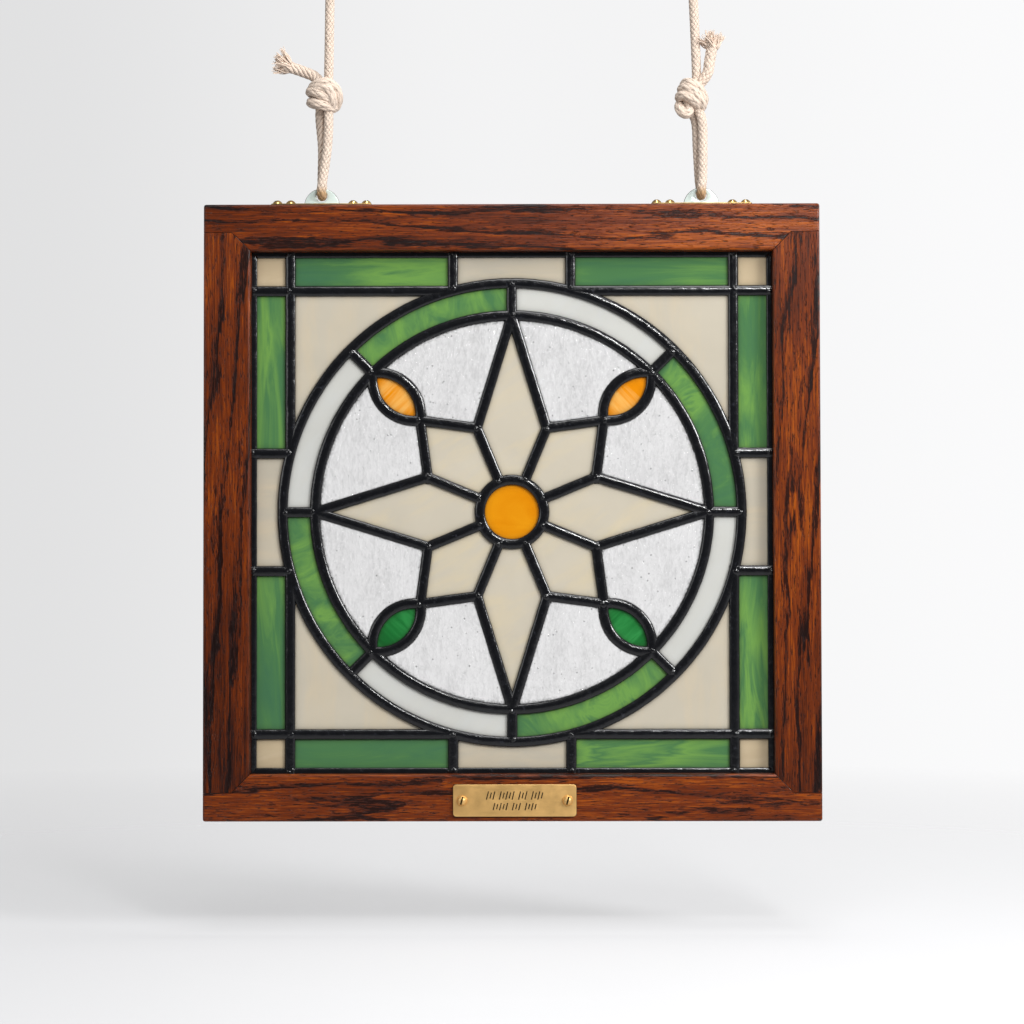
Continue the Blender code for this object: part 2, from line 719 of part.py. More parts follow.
# Each rope's own places, from the middle of its hanger's eye: x to the right, y away, z up.
LEFT_ROPE = {
    "side": -1,
    "knot": (0.0014, 0.0, 0.0625),
    "knot_size": (0.0244, 0.0190, 0.0204),
    "front_leg": [(0.0010, -0.0042, 0.0110), (0.0037, -0.0038, 0.0310), (0.0044, -0.0028, 0.0500)],
    "back_leg": [(-0.0002, 0.0042, 0.0110), (0.0002, 0.0036, 0.0310), (-0.0012, 0.0026, 0.0500)],
    "leaves_knot": (0.0041, 0.0000, 0.0745),
    "tail": [(-0.0034, 0.0050, 0.0746), (-0.0130, 0.0056, 0.0797), (-0.0262, 0.0044, 0.0838)],
}
RIGHT_ROPE = {
    "side": 1,
    "knot": (-0.0060, 0.0, 0.0602),
    "knot_size": (0.0202, 0.0190, 0.0273),
    "front_leg": [(0.0006, -0.0042, 0.0110), (0.0009, -0.0040, 0.0300), (0.0004, -0.0032, 0.0470)],
    "back_leg": [(-0.0008, 0.0042, 0.0110), (-0.0018, 0.0038, 0.0300), (-0.0028, 0.0030, 0.0470)],
    "leaves_knot": (-0.0026, 0.0000, 0.0757),
    "tail": [(0.0032, -0.0020, 0.0745), (0.0055, -0.0022, 0.0840), (0.0078, -0.0014, 0.0975)],
}
UPPER_KNOT_SIZE = (0.0205, 0.0190, 0.0215)
# One half of an upper loop, from the middle of its knot: x to the side and z up.
LOOP_ROUTE = [(0.0032, 0.0), (0.0050, 0.0110), (0.0096, 0.0220), (0.0120, 0.0310), (0.0086, 0.0393)]
# The cut end that leaves an upper knot, from the knot's middle: x outwards, y away and z up.
UPPER_TAIL = [(0.0, 0.0, 0.0), (0.0120, 0.0030, -0.0040), (0.0230, 0.0040, -0.0060)]
# Where the front leg enters the lower knot, from the knot's middle. The back leg enters opposite it.
LEG_ENTRY = (0.0032, -0.0010, 0.0)


def eye_bend():
    """The rope's line through the eye, from front to back, resting under the eye's rim."""
    keep = ROPE_RADIUS + ROPE_CLEARANCE
    face = TAB_THICKNESS / 2
    front = [
        Vector((0.0, -face - keep, EYE_HOLE_RADIUS + TAB_RIM / 2)),
        Vector((0.0, -face - keep * math.sqrt(0.5), EYE_HOLE_RADIUS - keep * math.sqrt(0.5))),
    ]
    back = [Vector((0.0, -place.y, place.z)) for place in reversed(front)]
    return [*front, Vector((0.0, 0.0, EYE_HOLE_RADIUS - keep)), *back]


def make_rope(name, rope, finishes, parts, cutters):
    """One rope: through the eye, knotted on itself, up to a knot and the loop that hangs it."""
    eye = Vector((rope["side"] * HANGER_X, 0.0, FRAME_TOP + JOINT_GAP + EYE_HEIGHT))
    upper_knot = Vector((rope["side"] * LOOP_X, 0.0, -UPPER_KNOT_DROP))
    knot = eye + Vector(rope["knot"])
    front = [eye + Vector(place) for place in rope["front_leg"]]
    back = [eye + Vector(place) for place in rope["back_leg"]]
    bend = [eye + place for place in eye_bend()]
    entry = Vector(LEG_ENTRY)
    legs = [knot + entry, *reversed(front), *bend, *back, knot - entry]
    standing_part = [knot, eye + Vector(rope["leaves_knot"]), upper_knot]
    tail = [knot, *(eye + Vector(place) for place in rope["tail"])]
    half = [Vector((x, 0.0, z)) for x, z in LOOP_ROUTE]
    loop = [upper_knot + Vector((-place.x, 0.0, place.z)) for place in half]
    loop.append(upper_knot + Vector((0.0, 0.0, UPPER_KNOT_DROP + ROPE_RADIUS)))
    loop += [upper_knot + place for place in reversed(half)]
    upper_tail = [upper_knot + Vector((rope["side"] * x, y, z)) for x, y, z in UPPER_TAIL]
    body = knot_ball(name, rope["knot_size"], knot, parts)
    pieces = [
        tube(name + "_legs", legs, BEND_STEP, cutters),
        tube(name + "_standing", standing_part, ROUTE_STEP, cutters),
        tube(name + "_tail", tail, ROUTE_STEP, cutters),
        knot_ball(name + "_upper_knot", UPPER_KNOT_SIZE, upper_knot, cutters),
        tube(name + "_loop", loop, LOOP_STEP, cutters),
        tube(name + "_upper_tail", upper_tail, ROUTE_STEP, cutters),
    ]
    for piece in pieces:
        boolean(body, helper(piece, cutters), "UNION")
    finish_part(body, finishes["cotton"], math.radians(50))


def main():
    clear_scene()
    parts = new_collection("leaded glass panel")
    cutters = new_collection("cutters", hidden=True)
    finishes = make_finishes()
    holder = bpy.data.objects.new("panel", None)
    holder.location = (0.0, 0.0, PANEL_Z)
    parts.objects.link(holder)
    lights = border_lights() + spandrel_lights() + ring_lights() + star_lights()
    make_glass(lights, finishes, parts, holder)
    make_came(lights, finishes, parts, cutters)
    make_frame(finishes, parts, cutters)
    make_plate(finishes, parts, cutters)
    make_hanger("hanger_left", -HANGER_X, finishes, parts, cutters)
    make_hanger("hanger_right", HANGER_X, finishes, parts, cutters)
    make_rope("rope_left", LEFT_ROPE, finishes, parts, cutters)
    make_rope("rope_right", RIGHT_ROPE, finishes, parts, cutters)


main()
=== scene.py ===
"""The finished look of a leaded glass panel in an oak frame, hung on two knotted cotton ropes."""

import math
import random

import bmesh
import bpy
from bpy.props import FloatProperty, FloatVectorProperty, IntProperty, PointerProperty
from mathutils import Euler, Matrix, Vector


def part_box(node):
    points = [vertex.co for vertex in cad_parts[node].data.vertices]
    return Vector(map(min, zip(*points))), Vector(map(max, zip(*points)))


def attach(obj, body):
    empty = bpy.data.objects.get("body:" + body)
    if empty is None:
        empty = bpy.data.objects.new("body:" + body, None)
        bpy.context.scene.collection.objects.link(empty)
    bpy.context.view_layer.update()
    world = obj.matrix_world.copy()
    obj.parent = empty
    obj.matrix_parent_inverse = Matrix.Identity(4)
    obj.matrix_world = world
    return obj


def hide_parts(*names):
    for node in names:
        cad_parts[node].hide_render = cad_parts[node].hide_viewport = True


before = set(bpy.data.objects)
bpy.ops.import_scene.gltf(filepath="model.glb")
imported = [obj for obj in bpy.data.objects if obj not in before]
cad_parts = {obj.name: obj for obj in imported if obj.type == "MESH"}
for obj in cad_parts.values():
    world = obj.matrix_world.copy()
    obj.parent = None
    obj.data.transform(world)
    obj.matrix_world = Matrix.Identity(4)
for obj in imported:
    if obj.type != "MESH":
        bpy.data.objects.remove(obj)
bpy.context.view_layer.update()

bl_info = {
    "name": "Leaded glass panel",
    "version": (1, 0, 0),
    "blender": (4, 5, 0),
    "location": "3D View > Sidebar > Panel",
    "description": "Makes the ropes, hangers, leads, glass, frame and plate of a hanging leaded glass panel",
    "category": "Add Mesh",
}

FRAME_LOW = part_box("frame_bottom_rail")[0]
FRAME_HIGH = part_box("frame_top_rail")[1]
PANEL_Z = (FRAME_LOW.z + FRAME_HIGH.z) / 2
FRONT_Y = FRAME_LOW.y
BODY = "root"
RIGHT_ANGLE = math.pi / 2
CIRCLE = 2 * math.pi

# The hangers, the plate and the ropes, with the same sizes and places as in the frame.
JOINT_GAP = 0.0003
HANGER_X = 0.1181
STRAP_SIZE = (0.0625, 0.012)
STRAP_THICKNESS = 0.0010
STRAP_CORNER = 0.0016
STRAP_SCREWS = (0.0194, 0.0277)
STRAP_SCREW_WIDTH = 0.0066
TAB_FOOT = 0.0026
TAB_RIM = 0.0014
TAB_THICKNESS = 0.0020
TAB_BEVEL_SHARE = 1.8
EYE_RADIUS = 0.0035
EYE_Z = FRAME_HIGH.z + JOINT_GAP + TAB_FOOT + EYE_RADIUS
SCREW_DOME = 0.42
SLOT_WIDTH = 0.16
SLOT_DEPTH = 0.18
PLATE_SHIFT = 0.0015
PLATE_THICKNESS = 0.0012
PLATE_CORNER = 0.0022
PLATE_BEVEL = 0.0004
PLATE_FRONT = FRONT_Y - JOINT_GAP - PLATE_THICKNESS
PLATE_SCREW_X = 0.0325
PLATE_SCREW_WIDTH = 0.0065
LOOP_X = 0.1130
UPPER_KNOT_DROP = 0.040
ROPE_CLEARANCE = 0.0004
ROPE_STEP = 0.00075
EYE_STEP = 0.0006
KNOT_STEP = 0.0010
KNOT_STITCH = 0.0085
KNOT_SWELL = 1.10
MILLIMETRE = 0.001

# The leads, on the same lines as the frame's, measured from the panel's centre.
EDGE_HALF = 0.1614
SQUARE_HALF = 0.1375
SIDE_LIGHT_HALF = 0.0365
RING_OUTER = math.hypot(SQUARE_HALF, SIDE_LIGHT_HALF)
RING_INNER = RING_OUTER - 0.0201
HUB_RADIUS = 0.0200
SHORT_RAY = RING_INNER - 0.0417
NOTCH_RADIUS = SHORT_RAY - 0.0240
OVAL_HALF_WIDTH = 0.0105
RAYS = 8
EIGHTH = CIRCLE / RAYS
SIGNS = ((1, 1), (-1, 1), (-1, -1), (1, -1))
LEAD_POINT_GAP = 0.002
LEAD_STEP = 0.0022
SOLDER_RISE = 0.0003
SHADOW_REACH = 0.0045


def colour_property(name, description, default):
    return FloatVectorProperty(
        name=name, description=description, default=default, subtype="COLOR", min=0.0, max=1.0)


def length_property(name, description, default):
    return FloatProperty(name=name, description=description, default=default, unit="LENGTH")


class StageSettings(bpy.types.PropertyGroup):
    camera_place: FloatVectorProperty(
        name="Camera place", description="Where the camera stands", default=(0.0093, -1.5088, -0.417),
        subtype="XYZ", unit="LENGTH")
    camera_turn: FloatVectorProperty(
        name="Camera turn", description="How the camera is turned",
        default=(math.radians(91.576), math.radians(0.09), math.radians(0.355)), subtype="EULER")
    lens: FloatProperty(
        name="Lens", description="Focal length in millimetres", default=85.47, min=20.0, max=300.0)
    backdrop: colour_property("Backdrop", "Colour of the backdrop", (0.875, 0.875, 0.88))
    ambient: FloatProperty(
        name="Ambient", description="Light from all round, as a share of the backdrop's", default=0.42,
        min=0.0, max=2.0)
    floor_drop: length_property("Floor drop", "From the bottom of the frame to the floor", 0.072)
    floor_radius: length_property("Floor radius", "Where the floor has faded out", 1.5)


class RopeSettings(bpy.types.PropertyGroup):
    diameter: length_property("Diameter", "Thickness of the rope", 0.006)
    strands: IntProperty(
        name="Strands", description="Strands braided each way round the rope", default=6, min=2)
    stitch: length_property("Stitch", "Length of one crossing of two strands along the rope", 0.0037)
    relief: length_property("Relief", "How deep the gaps between the strands are", 0.00035)
    colour: colour_property("Cotton", "Colour of the cotton", (0.86, 0.70, 0.575))
    yarns: IntProperty(name="Yarns", description="Yarns that show across a strand", default=3, min=1)
    fray_length: length_property("Fray length", "Length of a loose yarn at a cut end", 0.0120)
    fray_yarn: length_property("Fray yarn", "Thickness of a loose yarn", 0.0009)


class MetalSettings(bpy.types.PropertyGroup):
    brass: colour_property("Brass", "Colour of the brass", (0.84, 0.56, 0.22))
    plate: colour_property("Plate", "Colour of the brass plate", (0.85, 0.52, 0.185))
    # The tabs' pale colour is a painted reflection on their polished faces.
    tab: colour_property("Tab", "Colour of the polished face of the hangers' tabs", (0.74, 0.86, 0.82))
    bevel: length_property("Bevel", "Rounding of the metal's edges", 0.0003)
    stroke_depth: length_property("Stroke depth", "Depth of the strokes stamped in the plate", 0.0002)


class LeadSettings(bpy.types.PropertyGroup):
    width: length_property("Width", "Width of the lead's face", 0.0064)
    heart: length_property("Heart", "Thickness between two panes", 0.0016)
    channel: length_property("Channel", "Width of the channel that takes the glass", 0.0036)
    crown: length_property("Crown", "Depth of the lead from face to face", 0.0074)
    edge_crown: length_property("Edge crown", "Depth of the lead that sits in the frame's groove", 0.0062)
    unevenness: length_property("Unevenness", "How far the drawn lead is from even", 0.00022)
    joint: length_property("Joint", "Radius of a soldered joint", 0.0043)
    colour: colour_property("Lead", "Colour of the blackened lead", (0.0045, 0.0048, 0.0062))


class GlassSettings(bpy.types.PropertyGroup):
    cream: colour_property("Cream", "Cream opal glass", (0.54, 0.49, 0.395))
    white: colour_property("White", "White opal glass", (0.58, 0.58, 0.545))
    green: colour_property("Green", "Streaky green glass", (0.070, 0.185, 0.068))
    leaf: colour_property("Leaf green", "Dark green glass", (0.012, 0.15, 0.030))
    amber: colour_property("Amber", "Streaky amber glass", (0.76, 0.25, 0.002))
    clear: colour_property("Clear", "Clear seedy glass", (0.955, 0.95, 0.95))


class OakSettings(bpy.types.PropertyGroup):
    dark: colour_property("Dark grain", "Colour of the late wood and pores", (0.013, 0.0030, 0.0022))
    stain: colour_property("Stain", "Colour of the stained oak", (0.150, 0.025, 0.0030))
    light: colour_property("Light grain", "Colour of the early wood", (0.37, 0.082, 0.0050))


class PanelSettings(bpy.types.PropertyGroup):
    stage: PointerProperty(type=StageSettings)
    rope: PointerProperty(type=RopeSettings)
    metal: PointerProperty(type=MetalSettings)
    lead: PointerProperty(type=LeadSettings)
    glass: PointerProperty(type=GlassSettings)
    oak: PointerProperty(type=OakSettings)


def settings():
    return bpy.context.scene.leaded_panel


# Nodes


def connect(socket, value):
    """Links another node's output to a socket, or sets the socket's plain value."""
    if isinstance(value, bpy.types.NodeSocket):
        socket.id_data.links.new(value, socket)
    else:
        socket.default_value = value


def feed(target, **inputs):
    """Sets a node's inputs by name. NAME__1 is the second one called NAME."""
    for key, value in inputs.items():
        name, _, number = key.partition("__")
        sockets = [s for s in target.inputs if s.name == name.replace("_", " ") and s.enabled]
        connect(sockets[int(number or 0)], value)


def node(tree, kind, options=None, **inputs):
    made = tree.nodes.new(kind)
    for key, value in (options or {}).items():
        setattr(made, key, value)
    feed(made, **inputs)
    return made


def calculate(operation, *values, kind="ShaderNodeMath"):
    """A calculation on outputs of nodes and plain values, in the tree that they belong to."""
    tree = next(v.id_data for v in values if isinstance(v, bpy.types.NodeSocket))
    made = node(tree, kind, {"operation": operation})
    for socket, value in zip(made.inputs, values):
        connect(socket, value)
    return made.outputs["Value" if operation == "LENGTH" else 0]


def added(first, *others):
    for other in others:
        first = calculate("ADD", first, other)
    return first


def times(*values):
    return calculate("MULTIPLY", *values)


def less(*values):
    return calculate("SUBTRACT", *values)


def vectors(operation, *values):
    return calculate(operation, *values, kind="ShaderNodeVectorMath")


def new_material(name, roughness=0.4, metallic=0.0, **plain):
    """A material with its shader's plain values set, as (material, tree, shader)."""
    material = bpy.data.materials.new(name)
    material.use_nodes = True
    tree = material.node_tree
    shader = tree.nodes["Principled BSDF"]
    feed(shader, Roughness=roughness, Metallic=metallic, **plain)
    return material, tree, shader


def own_place(tree):
    return tree.nodes.new("ShaderNodeTexCoord").outputs["Object"]


def parts_of(vector):
    return node(vector.id_data, "ShaderNodeSeparateXYZ", Vector=vector).outputs


def placed(tree, scale=(1.0, 1.0, 1.0), turn=(0.0, 0.0, 0.0), shift=(0.0, 0.0, 0.0)):
    """The object's own coordinates, turned and then stretched."""
    turned = node(tree, "ShaderNodeMapping", Vector=own_place(tree), Rotation=turn, Location=shift)
    return node(tree, "ShaderNodeMapping", Vector=turned.outputs[0], Scale=scale).outputs[0]


def noise(vector, scale=1.0, detail=3.0, roughness=0.5, distortion=0.0):
    return node(
        vector.id_data, "ShaderNodeTexNoise", Vector=vector, Scale=scale, Detail=detail, Roughness=roughness,
        Distortion=distortion).outputs[0]


def ramp(factor, *stops, smooth=False):
    """A colour ramp. Each stop is (position, colour)."""
    made = node(factor.id_data, "ShaderNodeValToRGB", Fac=factor)
    band = made.color_ramp
    band.interpolation = "EASE" if smooth else "LINEAR"
    while len(band.elements) < len(stops):
        band.elements.new(1.0)
    for element, (position, colour) in zip(band.elements, stops):
        element.position = position
        element.color = (*colour, 1.0)
    return made.outputs[0]


def steps(factor, low, high, start=0.0, end=1.0):
    """Maps factor from low..high to start..end, and holds it outside."""
    return node(
        factor.id_data, "ShaderNodeMapRange", {"clamp": True}, Value=factor, From_Min=low, From_Max=high,
        To_Min=start, To_Max=end).outputs[0]


def mixed(factor, first, second):
    """Two colours mixed. Each is an output of a node or three plain values."""
    made = node(factor.id_data, "ShaderNodeMix", {"data_type": "RGBA"})
    for number, value in ((0, factor), (6, first), (7, second)):
        connect(made.inputs[number], value if isinstance(value, bpy.types.NodeSocket) else (*value, 1.0))
    return made.outputs[2]


def bump(height, distance, strength=1.0, normal=None):
    made = node(height.id_data, "ShaderNodeBump", Height=height, Distance=distance, Strength=strength)
    if normal is not None:
        feed(made, Normal=normal)
    return made.outputs[0]


def shade(colour, factor):
    return tuple(min(1.0, c * factor) for c in colour)


# Meshes


def new_object(name, mesh):
    made = bpy.data.objects.new(name, mesh)
    bpy.context.scene.collection.objects.link(made)
    return made


def mesh_object(name, shape, material=None):
    """Ends a bmesh as an object at the origin."""
    mesh = bpy.data.meshes.new(name)
    shape.to_mesh(mesh)
    shape.free()
    if material:
        mesh.materials.append(material)
    return new_object(name, mesh)


def smoothed(obj, degrees):
    """Shades an object smooth, except at edges sharper than the angle."""
    obj.data.shade_smooth()
    obj.data.set_sharp_from_angle(angle=math.radians(degrees))
    return obj


def skin(shape, low, high):
    """Faces from one ring of points to the next."""
    sides = [(n, (n + 1) % len(low)) for n in range(len(low))]
    return [shape.faces.new((low[n], low[m], high[m], high[n])) for n, m in sides]


def clothe(obj, material):
    """Gives a piece one material."""
    obj.data.materials.clear()
    obj.data.materials.append(material)


def plain_mesh(obj):
    """Replaces an object by a plain mesh of its evaluated shape, with its place in the mesh."""
    bpy.context.view_layer.update()
    graph = bpy.context.evaluated_depsgraph_get()
    mesh = bpy.data.meshes.new_from_object(
        obj.evaluated_get(graph), preserve_all_data_layers=True, depsgraph=graph)
    mesh.transform(obj.matrix_world)
    name = obj.name
    bpy.data.objects.remove(obj)
    mesh.name = name
    return new_object(name, mesh)


def welded(obj):
    """Joins a mesh's points that lie together."""
    shape = bmesh.new()
    shape.from_mesh(obj.data)
    bmesh.ops.remove_doubles(shape, verts=shape.verts, dist=1e-6)
    bmesh.ops.recalc_face_normals(shape, faces=shape.faces)
    shape.to_mesh(obj.data)
    shape.free()
    return obj


def joined(name, objects):
    """Several meshes as one object."""
    with bpy.context.temp_override(active_object=objects[0], selected_editable_objects=objects):
        bpy.ops.object.join()
    objects[0].name = name
    objects[0].data.name = name
    return objects[0]


def polar(radius, angle):
    """A flat point at a distance and an angle from the middle."""
    return Vector((radius * math.cos(angle), radius * math.sin(angle)))


def flat_plate(name, outlines, thickness, bevel, place, material, upright=True):
    """A plate with rounded edges, cut out along flat outlines, standing in the panel's plane or lying."""
    curve = bpy.data.curves.new(name, "CURVE")
    curve.dimensions = "2D"
    curve.fill_mode = "BOTH"
    curve.extrude = thickness / 2 - bevel
    curve.bevel_depth = bevel
    curve.offset = -bevel
    curve.bevel_resolution = 2
    for points in outlines:
        spline = curve.splines.new("POLY")
        spline.points.add(len(points) - 1)
        for target, point in zip(spline.points, points):
            target.co = (point[0], point[1], 0.0, 1.0)
        spline.use_cyclic_u = True
    obj = new_object(name, curve)
    obj.location = place
    if upright:
        obj.rotation_euler = (RIGHT_ANGLE, 0.0, 0.0)
    made = welded(plain_mesh(obj))
    clothe(made, material)
    return smoothed(made, 40)


def rounded_rectangle(length, height, radius):
    points = []
    for k, (x, y) in enumerate(SIGNS):
        middle = Vector((x * (length / 2 - radius), y * (height / 2 - radius)))
        points += [middle + polar(radius, (k + n / 6) * RIGHT_ANGLE) for n in range(7)]
    return points


# Geometry Nodes


def new_tree(name, *inputs):
    """A Geometry Nodes tree with a geometry socket each way and the named inputs, as (tree, source)."""
    tree = bpy.data.node_groups.new(name, "GeometryNodeTree")
    tree.interface.new_socket("Geometry", in_out="INPUT", socket_type="NodeSocketGeometry")
    for label, kind in inputs:
        tree.interface.new_socket(label, in_out="INPUT", socket_type="NodeSocket" + kind)
    tree.interface.new_socket("Geometry", in_out="OUTPUT", socket_type="NodeSocketGeometry")
    return tree, tree.nodes.new("NodeGroupInput")


def end_tree(tree, geometry, material):
    real = node(tree, "GeometryNodeRealizeInstances", Geometry=geometry).outputs[0]
    done = node(tree, "GeometryNodeSetMaterial", Geometry=real, Material=material).outputs[0]
    node(tree, "NodeGroupOutput", Geometry=done)


def grown(obj, tree, **values):
    """Runs a tree on an object with its inputs set, and returns the result as a plain mesh."""
    modifier = obj.modifiers.new(tree.name, "NODES")
    modifier.node_group = tree
    for item in tree.interface.items_tree:
        if item.in_out == "INPUT" and item.name.replace(" ", "_") in values:
            modifier[item.identifier] = values[item.name.replace(" ", "_")]
    return plain_mesh(obj)


def repeat_tree():
    """Sets a copy of a piece on every point, turned and sized by the point's own attributes."""
    tree, source = new_tree(
        "repeated piece", ("Piece", "Object"), ("Size spread", "Float"), ("Seed", "Int"),
        ("Material", "Material"))
    out = source.outputs
    turn, size = (
        node(tree, "GeometryNodeInputNamedAttribute", {"data_type": "FLOAT_VECTOR"}, Name=name).outputs[0]
        for name in ("turn", "size"))
    turned = node(tree, "FunctionNodeEulerToRotation", Euler=turn).outputs[0]
    spread = node(
        tree, "FunctionNodeRandomValue", Min__0=less(1.0, out["Size spread"]),
        Max__0=added(1.0, out["Size spread"]), Seed=out["Seed"])
    sized = node(tree, "ShaderNodeVectorMath", {"operation": "SCALE"}, Vector=size, Scale=spread.outputs[1])
    piece = node(tree, "GeometryNodeObjectInfo", Object=out["Piece"]).outputs["Geometry"]
    copies = node(
        tree, "GeometryNodeInstanceOnPoints", Points=out["Geometry"], Instance=piece, Rotation=turned,
        Scale=sized.outputs[0]).outputs[0]
    end_tree(tree, copies, out["Material"])
    return tree


def repeated(name, piece, places, material, spread=0.0, seed=1):
    """Copies of a piece at (point, turn, size) places, as one mesh. The piece itself is removed."""
    mesh = bpy.data.meshes.new(name)
    mesh.from_pydata([tuple(point) for point, _, _ in places], [], [])
    for label, values in (("turn", [p[1] for p in places]), ("size", [p[2] for p in places])):
        layer = mesh.attributes.new(label, "FLOAT_VECTOR", "POINT")
        for item, value in zip(layer.data, values):
            item.vector = value
    tree = bpy.data.node_groups.get("repeated piece") or repeat_tree()
    obj = new_object(name, mesh)
    made = grown(obj, tree, Piece=piece, Size_spread=spread, Seed=seed, Material=material)
    bpy.data.objects.remove(piece)
    for label in ("turn", "size"):
        if label in made.data.attributes:
            made.data.attributes.remove(made.data.attributes[label])
    return made


def lead_tree():
    """Sweeps a lead's section along every path, makes it slightly uneven and stands it upright."""
    tree, source = new_tree(
        "drawn lead", ("Section", "Object"), ("Step", "Float"), ("Unevenness", "Float"), ("Seed", "Int"),
        ("Height", "Float"), ("Material", "Material"))
    out = source.outputs
    path = node(tree, "GeometryNodeMeshToCurve", Mesh=out["Geometry"]).outputs[0]
    path = node(tree, "GeometryNodeResampleCurve", {"mode": "LENGTH"}, Curve=path, Length=out["Step"])
    path = node(tree, "GeometryNodeSetCurveNormal", {"mode": "Z_UP"}, Curve=path.outputs[0])
    section = node(tree, "GeometryNodeObjectInfo", Object=out["Section"]).outputs["Geometry"]
    section = node(tree, "GeometryNodeMeshToCurve", Mesh=section).outputs[0]
    swept = node(
        tree, "GeometryNodeCurveToMesh", Curve=path.outputs[0], Profile_Curve=section, Fill_Caps=True)
    smooth = node(tree, "GeometryNodeSetShadeSmooth", Geometry=swept.outputs[0]).outputs[0]
    grain = node(
        tree, "ShaderNodeTexNoise", {"noise_dimensions": "4D"}, W=out["Seed"], Scale=210.0, Detail=2.0)
    height = times(times(less(grain.outputs[0], 0.5), 2.0), out["Unevenness"])
    normal = tree.nodes.new("GeometryNodeInputNormal").outputs[0]
    offset = node(tree, "ShaderNodeVectorMath", {"operation": "SCALE"}, Vector=normal, Scale=height)
    uneven = node(tree, "GeometryNodeSetPosition", Geometry=smooth, Offset=offset.outputs[0]).outputs[0]
    lift = node(tree, "ShaderNodeCombineXYZ", Z=out["Height"]).outputs[0]
    standing = node(
        tree, "GeometryNodeTransform", Geometry=uneven, Rotation=(RIGHT_ANGLE, 0.0, 0.0), Translation=lift)
    end_tree(tree, standing.outputs[0], out["Material"])
    return tree


# Rope


def curve_through(a, b, c, d, count):
    """Points on the smooth curve from b to c, where a comes before and d after."""
    for k in range(count):
        t = k / count
        ahead = (c - a) * t + (2 * a - 5 * b + 4 * c - d) * t**2
        yield b + (ahead + (3 * b - a - 3 * c + d) * t**3) / 2


def smooth_route(points, step):
    """Points about a step apart on a smooth curve through the given ones."""
    ends = [points[0] * 2 - points[1], *points, points[-1] * 2 - points[-2]]
    fine = [p for four in zip(ends, ends[1:], ends[2:], ends[3:]) for p in curve_through(*four, 32)]
    return even_route([*fine, points[-1]], step)


def even_route(fine, step):
    """The same line with points evenly spaced along it."""
    lengths = [0.0]
    for a, b in zip(fine, fine[1:]):
        lengths.append(lengths[-1] + (b - a).length)
    count = max(2, round(lengths[-1] / step))
    route, k = [], 0
    for n in range(count + 1):
        target = lengths[-1] * n / count
        while k < len(fine) - 2 and lengths[k + 1] < target:
            k += 1
        span = lengths[k + 1] - lengths[k]
        share = (target - lengths[k]) / span if span > 0 else 0.0
        route.append(fine[k].lerp(fine[k + 1], min(1.0, share)))
    return route


def braid_height(first, second):
    """Height of a braid between 0 and 1. first and second count the strands that run each way."""
    one = abs(math.sin(math.pi * first))
    other = abs(math.sin(math.pi * second))
    if (math.floor(first) + math.floor(second)) % 2:
        one, other = other, one
    return math.sqrt(one) * (0.45 + 0.55 * other)


def rope_count(round_way, along_way, twisted):
    """A rope's counts of strands: both ways round a braid, but all one way on a twisted rope."""
    return (round_way - along_way, 0.0) if twisted else (round_way, along_way)


def lay_rope(shape, path, closed=False, swell=(1.0, 1.0), stitch=None, twisted=False):
    """Adds a length of rope to a bmesh. Its UV map counts the strands round and the stitches along.

    swell gives the rope's thickness at each end of the path, as a share of its diameter.
    """
    rope = settings().rope
    radius = rope.diameter / 2
    sides = 6 * rope.strands
    uv = shape.loops.layers.uv.verify()
    count = len(path)
    spans = count if closed else count - 1
    step = length_of(path) / (count - 1)
    stitches = step * spans / (stitch or rope.stitch)
    if closed:
        stitches = round(stitches)
    tangents = []
    for k in range(count):
        before = path[k - 1] if k or closed else path[0]
        after = path[(k + 1) % count] if k < count - 1 or closed else path[-1]
        tangents.append((after - before).normalized())
    side = tangents[0].orthogonal().normalized()
    rings = []
    for k, (point, along) in enumerate(zip(path, tangents)):
        side = (side - along * side.dot(along)).normalized()
        up = along.cross(side)
        share = k / spans
        full = radius * (swell[0] + (swell[1] - swell[0]) * share)
        if not closed:
            near = min(k, count - 1 - k) * step
            full *= 0.14 + 0.86 * math.sqrt(1 - max(0.0, 1 - near / radius) ** 2)
        ring = []
        for n in range(sides):
            angle = CIRCLE * n / sides
            round_way, along_way = rope_count(rope.strands * n / sides, stitches * share, twisted)
            height = braid_height(round_way + along_way, round_way - along_way)
            out = full - rope.relief * (1 - height) * full / radius
            ring.append(shape.verts.new(point + (side * math.cos(angle) + up * math.sin(angle)) * out))
        rings.append(ring)
    for k in range(spans):
        for n, face in enumerate(skin(shape, rings[k], rings[(k + 1) % count])):
            face.smooth = True
            for loop, (u, v) in zip(face.loops, ((n, k), (n + 1, k), (n + 1, k + 1), (n, k + 1))):
                loop[uv].uv = rope_count(rope.strands * u / sides, stitches * v / spans, twisted)
    if not closed:
        for ring, point, flip in ((rings[0], path[0], True), (rings[-1], path[-1], False)):
            pole = shape.verts.new(point)
            for pair in zip(ring, ring[1:] + ring[:1]):
                shape.faces.new((pole, *(reversed(pair) if flip else pair))).smooth = True


